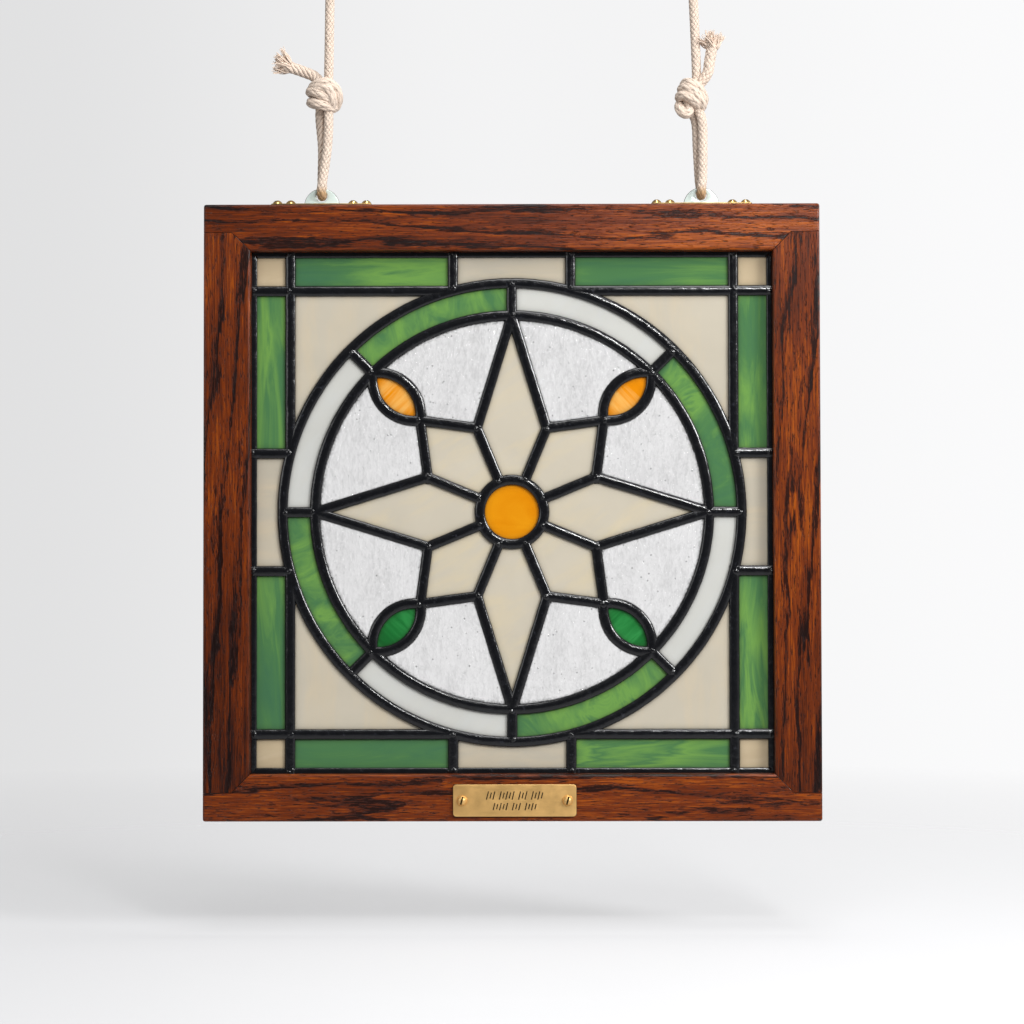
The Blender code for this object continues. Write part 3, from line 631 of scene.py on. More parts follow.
def cotton_material():
    """Unbleached cotton: strands braided both ways and fine yarns, soft and matt, with painted shade in the
    gaps between the strands and between the yarns.

    The rope is browner where it passes through the eye of its hanger.
    """
    rope = settings().rope
    material, tree, shader = new_material("cotton rope", 0.95, Sheen_Weight=0.2, Sheen_Roughness=0.5)
    counts = parts_of(tree.nodes.new("ShaderNodeUVMap").outputs[0])
    wander = noise(placed(tree), 420.0, 2.0)
    round_way = added(counts[0], calculate("MULTIPLY_ADD", wander, 0.70, -0.35))
    first = added(round_way, counts[1])
    second = less(round_way, counts[1])
    odd = calculate(
        "FLOORED_MODULO", added(calculate("FLOOR", first), calculate("FLOOR", second)), 2.0)

    def wave(count, strand):
        return calculate("ABSOLUTE", calculate("SINE", times(strand, math.pi * count)))

    def chosen(when_even, when_odd):
        made = tree.nodes.new("ShaderNodeMix")
        for number, value in ((0, odd), (2, when_even), (3, when_odd)):
            connect(made.inputs[number], value)
        return made.outputs[0]

    across = chosen(wave(1, first), wave(1, second))
    along = chosen(wave(1, second), wave(1, first))
    yarn = chosen(wave(rope.yarns, first), wave(rope.yarns, second))
    raised = times(calculate("SQRT", across), calculate("MULTIPLY_ADD", along, 0.55, 0.45))
    hairs = noise(placed(tree), 2600.0, 3.0, 0.6)
    tone = noise(placed(tree), 170.0, 2.0)
    base = ramp(tone, (0.3, shade(rope.colour, 0.90)), (0.7, tuple(rope.colour)))
    # Painted shade in the creases between the yarns.
    lined = mixed(steps(yarn, 0.0, 0.6, 0.30, 0.0), base, shade(rope.colour, 0.5))
    fuzzy = mixed(steps(hairs, 0.35, 0.6, 0.20, 0.0), lined, shade(rope.colour, 0.65))
    patches = steps(noise(placed(tree), 420.0, 2.0), 0.44, 0.60, 0.05, 1.0)
    # Painted shade in the gaps between the strands, in patches.
    gaps = mixed(times(steps(raised, 0.08, 0.55, 0.85, 0.0), patches), fuzzy, (0.17, 0.095, 0.060))
    # Browner where the rope passes through the hanger's eye.
    ragged_height = added(parts_of(own_place(tree))[2], times(hairs, 0.003))
    browner_by_eye = steps(ragged_height, EYE_Z + 0.0030, EYE_Z + 0.0075, 0.75, 0.0)
    height = added(raised, times(yarn, 0.2), times(hairs, 0.25))
    feed(shader, Base_Color=mixed(browner_by_eye, gaps, (0.45, 0.24, 0.06)), Normal=bump(height, 0.0005, 0.9))
    return material


# Each rope's places from the middle of its hanger's eye: x right, y away and z up.
LEFT_ROPE = {
    "side": -1,
    "knot": (0.0014, 0.0, 0.0625),
    "front_leg": [(0.0010, -0.0042, 0.0110), (0.0037, -0.0038, 0.0310), (0.0044, -0.0028, 0.0500)],
    "back_leg": [(-0.0002, 0.0042, 0.0110), (0.0002, 0.0036, 0.0310), (-0.0012, 0.0026, 0.0500)],
    "leaves_knot": (0.0041, 0.0000, 0.0745),
    "tail": [(-0.0034, 0.0050, 0.0746), (-0.0130, 0.0056, 0.0797), (-0.0262, 0.0044, 0.0838)],
}
RIGHT_ROPE = {
    "side": 1,
    "knot": (-0.0060, 0.0, 0.0602),
    "front_leg": [(0.0006, -0.0042, 0.0110), (0.0009, -0.0040, 0.0300), (0.0004, -0.0032, 0.0470)],
    "back_leg": [(-0.0008, 0.0042, 0.0110), (-0.0018, 0.0038, 0.0300), (-0.0028, 0.0030, 0.0470)],
    "leaves_knot": (-0.0026, 0.0000, 0.0757),
    "tail": [(0.0032, -0.0020, 0.0745), (0.0055, -0.0022, 0.0840), (0.0078, -0.0014, 0.0975)],
}
# The upper loop's right half, and the loose end and the legs' way in, from the middle of a knot.
LOOP_ROUTE = [(0.0032, 0.0), (0.0050, 0.0110), (0.0096, 0.0220), (0.0120, 0.0310), (0.0086, 0.0393)]
UPPER_TAIL = [(0.0, 0.0, 0.0), (0.0120, 0.0030, -0.0040), (0.0230, 0.0040, -0.0060)]
LEG_ENTRY = (0.0032, -0.0010, 0.0)

# The turns of each knot in millimetres from its middle: x right, y away and z up. Each one is closed.
LEFT_KNOT = (
    [(-6.4, -3.6, 5.4), (-2.2, -6.6, 7.2), (2.8, -7.2, 7.2), (7.2, -5.8, 4.2), (8.8, -2.8, -0.6),
     (7.0, 0.8, -5.8), (2.6, 5.6, -5.6), (-3.4, 6.2, -1.0), (-7.4, 2.0, 3.4)],
    [(-5.2, -4.4, 3.0), (-1.4, -7.0, 4.6), (2.8, -8.0, 3.4), (5.0, -7.4, -0.2), (5.0, -5.6, -4.6),
     (3.4, -1.2, -6.6), (0.0, 4.4, -4.6), (-4.0, 4.6, 0.0)],
    [(-8.6, 0.0, 3.0), (-6.6, -4.8, 2.6), (-2.0, -6.8, 0.2), (3.4, -6.0, -2.4), (6.6, -1.2, -3.6),
     (3.6, 4.6, -2.2), (-2.6, 6.0, 0.6), (-7.2, 4.0, 2.6)],
    [(-8.2, 0.2, -3.6), (-5.8, -4.8, -4.8), (-1.2, -6.4, -6.2), (3.4, -4.8, -7.2), (5.8, 0.4, -6.8),
     (2.6, 5.0, -5.6), (-2.6, 5.8, -4.4), (-6.8, 3.8, -3.6)],
)
RIGHT_KNOT = (
    [(-2.8, -2.8, 9.8), (1.2, -6.0, 8.2), (5.2, -5.8, 4.4), (7.6, -3.0, -0.4), (6.4, 2.0, -2.4),
     (1.8, 6.0, 0.8), (-1.6, 5.6, 5.6), (-3.8, 2.0, 9.2)],
    [(-5.0, -2.6, 6.4), (-1.8, -6.6, 5.4), (2.6, -7.2, 1.8), (5.8, -5.4, -3.0), (6.0, -0.4, -5.0),
     (2.0, 5.4, -2.6), (-2.6, 5.8, 2.0), (-5.4, 1.8, 5.8)],
    [(-7.2, -2.2, 1.2), (-4.4, -6.0, 1.6), (0.2, -7.2, -1.0), (3.6, -5.0, -3.8), (3.2, 1.6, -4.4),
     (-1.0, 5.4, -1.6), (-5.6, 3.0, 0.6)],
    [(-7.4, -1.4, -4.6), (-6.6, -4.4, -8.0), (-3.6, -5.2, -10.0), (-1.4, -3.6, -7.0), (-1.8, -2.6, -2.8),
     (-3.6, 1.4, -1.4), (-6.4, 1.2, -2.6)],
)
UPPER_KNOT = (
    [(-6.0, -2.0, 6.2), (-1.0, -6.2, 5.8), (4.6, -4.8, 3.2), (7.0, 0.0, 1.0), (3.4, 5.6, 1.6),
     (-3.0, 5.4, 4.8)],
    [(-7.0, -1.4, 0.6), (-3.0, -6.0, 0.8), (3.0, -6.2, -1.4), (7.0, -1.2, -3.4), (3.6, 5.4, -2.8),
     (-3.6, 5.2, -0.4)],
    [(-6.2, -1.0, -4.6), (-2.2, -5.6, -5.0), (3.0, -4.8, -6.6), (5.4, 0.4, -7.2), (1.6, 5.2, -6.4),
     (-4.0, 4.0, -4.8)],
)
KNOT_CORE = (0.0120, 0.0110, 0.0130)
# The tufts of each cut end: how each leans, its yarns, their spread and their length as a share.
LEFT_TUFTS = (((0.0, 0.0, -0.05), 90, 0.10, 0.90), ((0.15, 0.0, 0.60), 34, 0.05, 1.0))
RIGHT_TUFTS = (((0.10, 0.0, 0.0), 90, 0.10, 0.90), ((-0.75, -0.1, -0.30), 34, 0.08, 0.90))
UPPER_TUFTS = (((0.0, 0.0, 0.0), 70, 0.10, 0.60),)


def tied_turn(points):
    """A smooth closed line through the given points."""
    count = len(points)
    fine = [
        p for k in range(count)
        for p in curve_through(*(points[(k + n - 1) % count] for n in range(4)), 24)]
    return even_route([*fine, fine[0]], KNOT_STEP)[:-1]


def knot(name, centre, turns, material):
    """A tied knot: turns of rope drawn tight about its middle."""
    shape = bmesh.new()
    for turn in turns:
        points = [centre + Vector(place) * MILLIMETRE for place in turn]
        lay_rope(shape, tied_turn(points), closed=True, swell=(KNOT_SWELL,) * 2, stitch=KNOT_STITCH)
    stretch = Matrix.Translation(centre) @ Matrix.Diagonal((*(s / 2 for s in KNOT_CORE), 1.0))
    bmesh.ops.create_uvsphere(shape, u_segments=24, v_segments=16, radius=1.0, matrix=stretch)
    bmesh.ops.recalc_face_normals(shape, faces=shape.faces)
    return mesh_object(name, shape, material)


def yarn_piece(length, radius):
    """One loose yarn, wavy and tapered, from the origin up."""
    shape = bmesh.new()
    sides, parts = 5, 7
    rings = []
    for k in range(parts + 1):
        t = k / parts
        wave = Vector((math.sin(t * 5.0) * 0.07, math.sin(t * 3.0 + 1.0) * 0.05, t)) * length
        size = radius * (1.0 - 0.5 * t)
        ring = [wave + polar(size, CIRCLE * n / sides).to_3d() for n in range(sides)]
        rings.append([shape.verts.new(point) for point in ring])
    for low, high in zip(rings, rings[1:]):
        skin(shape, low, high)
    shape.faces.new(rings[0][::-1])
    shape.faces.new(rings[-1])
    return smoothed(mesh_object("yarn", shape), 80)


def fray(name, end, along, material, seed, tufts):
    """The cut end of a rope with its yarns spread. Each tuft is (lean, yarns, spread, length)."""
    rope = settings().rope
    draw = random.Random(seed)
    radius = rope.diameter / 2
    places = []
    side = along.orthogonal().normalized()
    up = along.cross(side)
    for lean, yarns, spread, length in tufts:
        for _ in range(yarns):
            out, angle = radius * 1.15 * draw.uniform(0.2, 1.0) ** 0.4, draw.uniform(0, CIRCLE)
            offset = side * math.cos(angle) * out + up * math.sin(angle) * out
            loose = Vector([draw.gauss(0, spread) for _ in range(3)])
            direction = (along + Vector(lean) + offset / radius * 0.30 + loose).normalized()
            turn = direction.to_track_quat("Z", "Y")
            spin = Euler((0.0, 0.0, draw.uniform(0, CIRCLE))).to_quaternion()
            size = length * draw.uniform(0.75, 1.0)
            root = end + offset - along * rope.fray_length * 0.5
            places.append((root, (turn @ spin).to_euler(), (1.0, 1.0, size)))
    piece = yarn_piece(rope.fray_length, rope.fray_yarn / 2)
    made = repeated(name, piece, places, material, 0.1, seed)
    uv = made.data.uv_layers.new(name="UVMap")
    for item in uv.data:
        item.uv = (0.5, 0.0)
    return made


def rope_line(name, path, material, swell=(1.0, 1.0), twisted=False):
    shape = bmesh.new()
    lay_rope(shape, path, swell=swell, twisted=twisted)
    bmesh.ops.recalc_face_normals(shape, faces=shape.faces)
    return mesh_object(name, shape, material)


def length_of(path):
    return sum((b - a).length for a, b in zip(path, path[1:]))


def make_rope(label, rope, turns, tufts, material):
    """One rope from its hanger's eye: both legs, the knot, the standing part, the loop and the ends."""
    size = settings().rope
    side = rope["side"]
    eye = Vector((side * HANGER_X, 0.0, EYE_Z))
    upper = Vector((side * LOOP_X, 0.0, -UPPER_KNOT_DROP))
    middle = eye + Vector(rope["knot"])
    entry = Vector(LEG_ENTRY)
    radius = size.diameter / 2
    keep = radius + ROPE_CLEARANCE
    front_y, side_z = TAB_THICKNESS / 2 + keep, keep * math.sqrt(0.5)
    in_front = [
        eye + Vector((0.0, -front_y, EYE_RADIUS + TAB_RIM / 2)),
        eye + Vector((0.0, -TAB_THICKNESS / 2 - side_z, EYE_RADIUS - side_z))]
    behind = [Vector((p.x, -p.y, p.z)) for p in reversed(in_front)]
    front = [eye + Vector(place) for place in rope["front_leg"]]
    back = [eye + Vector(place) for place in rope["back_leg"]]
    half = [Vector((x, 0.0, z)) for x, z in LOOP_ROUTE]
    loop = [upper + Vector((-p.x, 0.0, p.z)) for p in half]
    loop.append(upper + Vector((0.0, 0.0, UPPER_KNOT_DROP + radius)))
    loop += [upper + p for p in reversed(half)]
    main = [in_front[0], *front, middle + entry * 0.6, eye + Vector(rope["leaves_knot"]), upper]
    main_path = smooth_route(main, ROPE_STEP) + smooth_route(loop, ROPE_STEP)[2:]
    tail = [behind[-1], *back, middle - entry * 0.6, *(eye + Vector(p) for p in rope["tail"])]
    tail_path = smooth_route(tail, ROPE_STEP)
    eye_path = smooth_route(
        [front[0], *in_front, eye + Vector((0.0, 0.0, EYE_RADIUS - keep)), *behind, back[0]], EYE_STEP)
    end_path = smooth_route([upper + Vector((side * x, y, z)) for x, y, z in UPPER_TAIL], ROPE_STEP)
    pieces = {
        "standing": rope_line(f"{label}_standing_part", main_path, material),
        "tail": rope_line(f"{label}_tail", tail_path, material, (1.0, 1.22), side < 0),
        "turn": rope_line(f"{label}_turn_in_eye", eye_path, material),
        "end": rope_line(f"{label}_upper_tail", end_path, material, (1.0, 1.15)),
        "knot": knot(f"{label}_knot", middle, turns, material),
        "upper": knot(f"{label}_upper_knot", upper, UPPER_KNOT, material),
    }
    cut_ends = (("fray", tail_path, 7, tufts), ("upper_fray", end_path, 11, UPPER_TUFTS))
    for name, path, seed, yarns in cut_ends:
        along = (path[-1] - path[-6]).normalized()
        pieces[name] = fray(f"{label}_{name}", path[-1], along, material, seed, yarns)
    for piece in pieces.values():
        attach(piece, BODY)
    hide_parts(label)


# Metalwork


def metal_material(name, colour, roughness, metallic=1.0, depth_from=None):
    """Worn metal: fine scratches, cloudy polish and, where depth_from is given, dark stamped hollows."""
    material, tree, shader = new_material(name, roughness, metallic)
    cloud = noise(placed(tree), 140.0, 4.0, 0.6)
    level = noise(placed(tree, (60.0, 900.0, 2600.0)), 1.0, 3.0)
    base = ramp(cloud, (0.3, shade(colour, 0.84)), (0.75, tuple(colour)))
    if depth_from is not None:
        inside = steps(parts_of(own_place(tree))[1], depth_from + 0.00003, depth_from + 0.00010)
        base = mixed(inside, base, (0.035, 0.022, 0.012))
    polish = added(
        steps(cloud, 0.3, 0.7, roughness * 0.75, roughness * 1.25), steps(level, 0.5, 0.75, 0.0, 0.12))
    feed(shader, Base_Color=base, Roughness=polish, Normal=bump(level, 0.00003, 0.35))
    return material


def screw_piece():
    """A slotted round screw head of diameter 1, its flat side at Z = 0."""
    shape = bmesh.new()
    height, radius, sides = SCREW_DOME, 0.5, 40
    ball = (radius**2 + height**2) / (2 * height)
    spread = math.asin(radius / ball)
    profile = [(radius, -0.05), (radius, 0.0)]
    profile += [
        (ball * math.sin(a), ball * math.cos(a) - ball + height)
        for a in (spread * (1 - k / 9) for k in range(1, 9))]
    rings = [
        [shape.verts.new((*polar(r, CIRCLE * n / sides), z)) for n in range(sides)] for r, z in profile]
    for low, high in zip(rings, rings[1:]):
        skin(shape, low, high)
    shape.faces.new(rings[-1])
    shape.faces.new(rings[0][::-1])
    slot = bmesh.new()
    place = Matrix.Translation((0.0, 0.0, height)) @ Matrix.Diagonal((2.0, SLOT_WIDTH, SLOT_DEPTH * 2, 1.0))
    bmesh.ops.create_cube(slot, size=1.0, matrix=place)
    head = smoothed(cut(mesh_object("screw head", shape), mesh_object("slot", slot)), 35)
    inside = head.data.attributes.new("slot", "INT", "FACE")
    for face, item in zip(head.data.polygons, inside.data):
        x, y, z = face.center
        wall = abs(y) < SLOT_WIDTH / 2 + 0.0001 and z > 0.2 and abs(face.normal.z) < 0.3
        item.value = int(wall or abs(z - height + SLOT_DEPTH) < 0.001)
    return head


def darken_slots(obj, material):
    """Gives the faces inside the screws' slots their own dark metal, which paints the shade inside the
    slots.
    """
    brass = next(m for m in obj.data.materials if m)
    obj.data.materials.clear()
    for metal in (brass, material):
        obj.data.materials.append(metal)
    inside = obj.data.attributes["slot"]
    for face, item in zip(obj.data.polygons, inside.data):
        face.material_index = int(item.value > 0)
    obj.data.attributes.remove(inside)


def cut(obj, cutter):
    """Cuts one mesh out of another. The cutter is removed."""
    modifier = obj.modifiers.new("cut", "BOOLEAN")
    modifier.operation = "DIFFERENCE"
    modifier.object = cutter
    made = plain_mesh(obj)
    bpy.data.objects.remove(cutter)
    return made


def make_hanger(label, x, brass, strap_metal, tab_metal, slot_metal):
    """A brass strap screwed to the top edge, with an upright tab, polished on its faces, that takes the
    rope.
    """
    metal = settings().metal
    bottom = FRAME_HIGH.z + JOINT_GAP
    strap = flat_plate(
        label + "_strap", [rounded_rectangle(*STRAP_SIZE, STRAP_CORNER)], STRAP_THICKNESS, metal.bevel,
        (x, 0.0, bottom + STRAP_THICKNESS / 2), strap_metal, upright=False)
    radius = TAB_FOOT + 2 * EYE_RADIUS + TAB_RIM
    edge = [polar(radius, math.pi * k / 48) for k in range(49)]
    edge = [Vector((p.x, max(p.y, STRAP_THICKNESS / 2))) for p in edge]
    hole = [Vector((0.0, TAB_FOOT + EYE_RADIUS)) + polar(EYE_RADIUS, CIRCLE * k / 40) for k in range(40)]
    rim = metal.bevel * TAB_BEVEL_SHARE
    tab = flat_plate(label + "_tab", [edge, hole], TAB_THICKNESS, rim, (x, 0.0, bottom), slot_metal)
    tab.data.materials.append(tab_metal)
    centre = Vector((x, 0.0, EYE_Z))
    # The tab's faces and the rim of its eye take the pale colour of painted reflection.
    for face in tab.data.polygons:
        away = Vector((face.center.x, 0.0, face.center.z)) - centre
        if abs(face.normal.y) > 0.95 or away.length < EYE_RADIUS + rim:
            face.material_index = 1
    places = []
    for side in (-1, 1):
        for number, away in enumerate(STRAP_SCREWS, 1):
            turn = math.radians(40 * number + 25 * side)
            point = (x + side * away, 0.0, bottom + STRAP_THICKNESS)
            places.append((point, (0.0, 0.0, turn), (STRAP_SCREW_WIDTH,) * 3))
    screws = repeated(label + "_screws", screw_piece(), places, brass)
    darken_slots(screws, slot_metal)
    made = joined(label + "_finished", [strap, tab, screws])
    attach(made, BODY)
    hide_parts(label)


def stroke_places(middle_z):
    """Two rows of slanting strokes in groups: (point, turn, size) of each."""
    places = []
    # Each row's rise from the middle, its height, its length and the strokes in its groups.
    rows = ((0.0031, 0.0052, 0.0335, (3, 5, 3, 4)), (-0.0037, 0.0046, 0.0255, (5, 3, 4)))
    for rise, tall, length, groups in rows:
        pitch = length / (sum(groups) + len(groups) - 2)
        at = -length / 2
        for group in groups:
            for n in range(group):
                height = tall * (0.72 if n % 2 else 1.0)
                point = (PLATE_SHIFT + at, PLATE_FRONT, middle_z + rise)
                places.append((point, (0.0, math.radians(14), 0.0), (0.0007, 1.0, height)))
                at += pitch
            at += pitch
    return places


def make_plate(brass, slot_metal):
    """The brass plate on the bottom rail, with bevelled edges, shallow strokes and two slotted screws."""
    low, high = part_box("brass_plate")
    middle_z = (low.z + high.z) / 2
    plate = flat_plate(
        "plate_sheet", [rounded_rectangle(high.x - low.x, high.z - low.z, PLATE_CORNER)], PLATE_THICKNESS,
        PLATE_BEVEL, (PLATE_SHIFT, PLATE_FRONT + PLATE_THICKNESS / 2, middle_z), brass)
    shape = bmesh.new()
    depth = settings().metal.stroke_depth
    bmesh.ops.create_cube(shape, size=1.0, matrix=Matrix.Diagonal((1.0, depth * 2, 1.0, 1.0)))
    strokes = repeated("strokes", mesh_object("stroke", shape), stroke_places(middle_z), brass)
    plate = smoothed(cut(plate, strokes), 40)
    places = [
        ((PLATE_SHIFT + side * PLATE_SCREW_X, PLATE_FRONT, middle_z), (RIGHT_ANGLE, math.radians(-75), 0.0),
         (PLATE_SCREW_WIDTH,) * 3)
        for side in (-1, 1)]
    screws = repeated("plate_screws", screw_piece(), places, brass)
    darken_slots(screws, slot_metal)
    made = joined("brass_plate_finished", [plate, screws])
    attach(made, BODY)
    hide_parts("brass_plate")


# Leads


def arc(centre, start, end):
    """Points on the shorter arc about centre from start to end."""
    a, b = start - centre, end - centre
    sweep = math.atan2(a.x * b.y - a.y * b.x, a.dot(b))
    first = math.atan2(a.y, a.x)
    count = max(2, round(abs(sweep) * a.length / LEAD_POINT_GAP))
    return [centre + polar(a.length, first + sweep * k / count) for k in range(count + 1)]


def oval_sides(angle):
    """The two curved leads of a pointed oval, from a short ray's tip to the ring."""
    inner, outer = polar(SHORT_RAY, angle), polar(RING_INNER, angle)
    chord = outer - inner
    radius = (chord.length_squared / 4 + OVAL_HALF_WIDTH**2) / (2 * OVAL_HALF_WIDTH)
    left = Vector((-chord.y, chord.x)).normalized()
    middle = (inner + outer) / 2
    return [arc(middle + left * side * (radius - OVAL_HALF_WIDTH), inner, outer) for side in (1, -1)]


def inner_leads():
    """Every lead inside the frame as (points, closed), about the panel's centre."""
    ends = (
        ((SQUARE_HALF, EDGE_HALF), (SQUARE_HALF, SIDE_LIGHT_HALF)),
        ((EDGE_HALF, SQUARE_HALF), (SIDE_LIGHT_HALF, SQUARE_HALF)),
        ((EDGE_HALF, SIDE_LIGHT_HALF), (SQUARE_HALF, SIDE_LIGHT_HALF)),
        ((SIDE_LIGHT_HALF, EDGE_HALF), (SIDE_LIGHT_HALF, SQUARE_HALF)))
    lines = [([Vector((x * a, y * b)) for a, b in pair], False) for x, y in SIGNS for pair in ends]
    for radius in (RING_OUTER, RING_INNER, HUB_RADIUS):
        count = round(CIRCLE * radius / LEAD_POINT_GAP)
        lines.append(([polar(radius, CIRCLE * k / count) for k in range(count)], True))
    for k in range(RAYS):
        axis, between = k * EIGHTH, (k + 0.5) * EIGHTH
        lines.append(([polar(RING_INNER, axis), polar(RING_OUTER, axis)], False))
        tip = polar(SHORT_RAY if k % 2 else RING_INNER, axis)
        for notch in (between - EIGHTH, between):
            lines.append(([polar(NOTCH_RADIUS, notch), tip], False))
        lines.append(([polar(HUB_RADIUS, between), polar(NOTCH_RADIUS, between)], False))
        if k % 2:
            lines += [(points, False) for points in oval_sides(axis)]
    return lines


def joints():
    """Where leads are soldered, about the panel's centre, with the size of each joint."""
    places = []
    back = settings().lead.width * 0.2
    edge, square = EDGE_HALF - back, SQUARE_HALF + back
    for x, y in SIGNS:
        places += [(Vector((x * a, y * b)), size) for a, b, size in (
            (SQUARE_HALF, SQUARE_HALF, 1.05), (SQUARE_HALF, edge, 0.85), (edge, SQUARE_HALF, 0.85),
            (SIDE_LIGHT_HALF, edge, 0.85), (edge, SIDE_LIGHT_HALF, 0.85),
            (SIDE_LIGHT_HALF, square, 1.0), (square, SIDE_LIGHT_HALF, 1.0))]
    for k in range(RAYS):
        axis, between = k * EIGHTH, (k + 0.5) * EIGHTH
        places += [(polar(radius, angle), size) for radius, angle, size in (
            (RING_INNER + back * 0.5, axis, 1.0), (RING_OUTER - back, axis, 0.85),
            (NOTCH_RADIUS, between, 1.0), (HUB_RADIUS + back, between, 0.85))]
        if k % 2:
            places.append((polar(SHORT_RAY, axis), 1.0))
    return places


def paths_object(name, lines):
    vertices, edges = [], []
    for points, closed in lines:
        first = len(vertices)
        vertices += [(p.x, p.y, 0.0) for p in points]
        edges += [(first + k, first + k + 1) for k in range(len(points) - 1)]
        if closed:
            edges.append((len(vertices) - 1, first))
    mesh = bpy.data.meshes.new(name)
    mesh.from_pydata(vertices, edges, [])
    return new_object(name, mesh)


def section_object(name, crown):
    """The lead's H section: two rounded faces, joined by the heart between the channels."""
    lead = settings().lead
    half, heart, channel = lead.width / 2, lead.heart / 2, lead.channel / 2
    lip = channel + 0.0004
    face = []
    for k in range(11):
        angle = math.pi * k / 10
        face.append((half * math.cos(angle), lip + (crown / 2 - lip) * math.sin(angle) ** 0.8))
    upper = [(heart, channel), (half * 0.98, channel), *face, (-half * 0.98, channel), (-heart, channel)]
    outline = upper + [(-x, -y) for x, y in upper]
    mesh = bpy.data.meshes.new(name)
    count = len(outline)
    mesh.from_pydata([(x, y, 0.0) for x, y in outline], [(k, (k + 1) % count) for k in range(count)], [])
    return new_object(name, mesh)


def joint_piece():
    """A lump of solder of radius 1, flat below and rough above."""
    shape = bmesh.new()
    draw = random.Random(5)
    bmesh.ops.create_icosphere(shape, subdivisions=3, radius=1.0)
    for vertex in shape.verts:
        wave = sum(
            math.sin(vertex.co.dot(Vector(d)) + p) for d, p in (
                ((4.1, 2.3, 0.7), 0.4), ((-2.9, 5.2, 1.1), 1.9), ((6.3, -3.7, 2.0), 4.0)))
        out = 1.0 + 0.06 * wave + draw.uniform(-0.012, 0.012)
        vertex.co = Vector((vertex.co.x * out, vertex.co.y * out, vertex.co.z * (0.95 + 0.08 * wave)))
    return smoothed(mesh_object("solder joint", shape), 70)


def lead_material():
    """Blackened lead: near black and glossy, with soft dents, fine pits and scuffed patches."""
    colour = settings().lead.colour
    material, tree, shader = new_material("blackened lead", Specular_IOR_Level=0.55)
    cloud = noise(placed(tree), 240.0, 4.0, 0.6)
    fine = noise(placed(tree), 1300.0, 4.0, 0.65)
    scuff = steps(noise(placed(tree), 380.0, 4.0, 0.7), 0.60, 0.72)
    base = mixed(scuff, tuple(colour), shade(colour, 5.0))
    rough = added(steps(cloud, 0.35, 0.65, 0.10, 0.20), steps(fine, 0.5, 0.7, 0.0, 0.08))
    dents = bump(fine, 0.00008, 0.30, bump(cloud, 0.0005, 0.40))
    feed(shader, Base_Color=base, Roughness=rough, Normal=dents)
    return material


def make_leads():
    """The whole lattice of leads with its soldered joints, front and back, as one piece."""
    lead = settings().lead
    material = lead_material()
    tree = lead_tree()
    corners = [Vector((x * EDGE_HALF, y * EDGE_HALF)) for x, y in SIGNS]
    made = []
    groups = (
        ("edge_leads", [(corners, True)], lead.edge_crown, 3),
        ("inner_leads", inner_leads(), lead.crown, 8))
    for name, lines, crown, seed in groups:
        section = section_object(name + "_section", crown)
        made.append(grown(
            paths_object(name, lines), tree, Section=section, Step=LEAD_STEP, Unevenness=lead.unevenness,
            Seed=seed, Height=PANEL_Z, Material=material))
        bpy.data.objects.remove(section)
    draw = random.Random(21)
    places = []
    rise = (lead.crown - lead.channel) / 2 + SOLDER_RISE
    for facing in (-1, 1):
        for place, size in joints():
            spin = draw.uniform(0, CIRCLE)
            turn = Matrix.Rotation(-facing * RIGHT_ANGLE, 3, "X") @ Matrix.Rotation(spin, 3, "Z")
            point = (place.x, facing * lead.channel / 2, PANEL_Z + place.y)
            width = lead.joint * size * draw.uniform(0.9, 1.1)
            places.append((point, turn.to_euler(), (width, width * draw.uniform(0.8, 1.0), rise)))
    made.append(repeated("solder_joints", joint_piece(), places, material, 0.05, 4))
    whole = joined("leads", made)
    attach(whole, BODY)
    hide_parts("lead_came")


# Glass


def shadowed(colour, reach, depth):
    """Darkens a pane's colour close beside the leads, found by an ambient-occlusion test: painted shade,
    with some grime.
    """
    near = node(colour.id_data, "ShaderNodeAmbientOcclusion", {"samples": 6}, Distance=reach)
    return mixed(steps(near.outputs["AO"], 0.45, 0.95, depth, 0.0), colour, (0.02, 0.016, 0.012))


def opal_material(name, colour, warm, turn=0.0, shift=0.0):
    """Opal glass: milky, with soft clouds and a faint streak of a warmer tone, glossy and gently rippled."""
    material, tree, shader = new_material(name, 0.16, Coat_Weight=0.25, Coat_Roughness=0.05)
    cloud = noise(placed(tree, shift=(shift, 0.0, shift)), 22.0, 3.0, 0.5, 0.5)
    streak = noise(placed(tree, (18.0, 70.0, 70.0), (0.0, turn, 0.0), (shift, 0.0, 0.0)), 1.0, 4.0, 0.6, 0.5)
    base = ramp(cloud, (0.30, shade(colour, 0.93)), (0.70, tuple(colour)))
    base = mixed(steps(streak, 0.46, 0.74, 0.0, 0.55), base, warm)
    ripple = bump(noise(placed(tree), 60.0, 2.0), 0.0006, 0.4)
    feed(shader, Base_Color=shadowed(base, SHADOW_REACH, 0.55), Normal=ripple)
    return material


def streaky_material(name, dark, middle, light, along, across, turn=0.0, shift=0.0, contrast=0.2):
    """Streaky glass: wisps of lighter glass drawn out along it, over a deeper colour."""
    material, tree, shader = new_material(name, 0.12, Coat_Weight=0.3, Coat_Roughness=0.04)
    place = placed(tree, (along, across, across), (0.0, turn, 0.0), (shift, 0.0, shift * 0.7))
    wisps = noise(place, 1.0, 5.0, 0.6, 1.2)
    drift = noise(placed(tree, shift=(shift, 0.0, 0.0)), 9.0, 1.0, 0.5, 0.3)
    both = added(times(wisps, 0.45), times(drift, 0.55))
    base = ramp(
        both, (0.5 - contrast, dark), (0.5 - contrast * 0.2, middle), (0.5 + contrast * 0.35, light),
        (0.5 + contrast * 0.6, middle), (0.5 + contrast, light))
    ripple = bump(noise(place, 0.6, 2.0), 0.0007, 0.4)
    feed(shader, Base_Color=shadowed(base, SHADOW_REACH, 0.60), Normal=ripple)
    return material


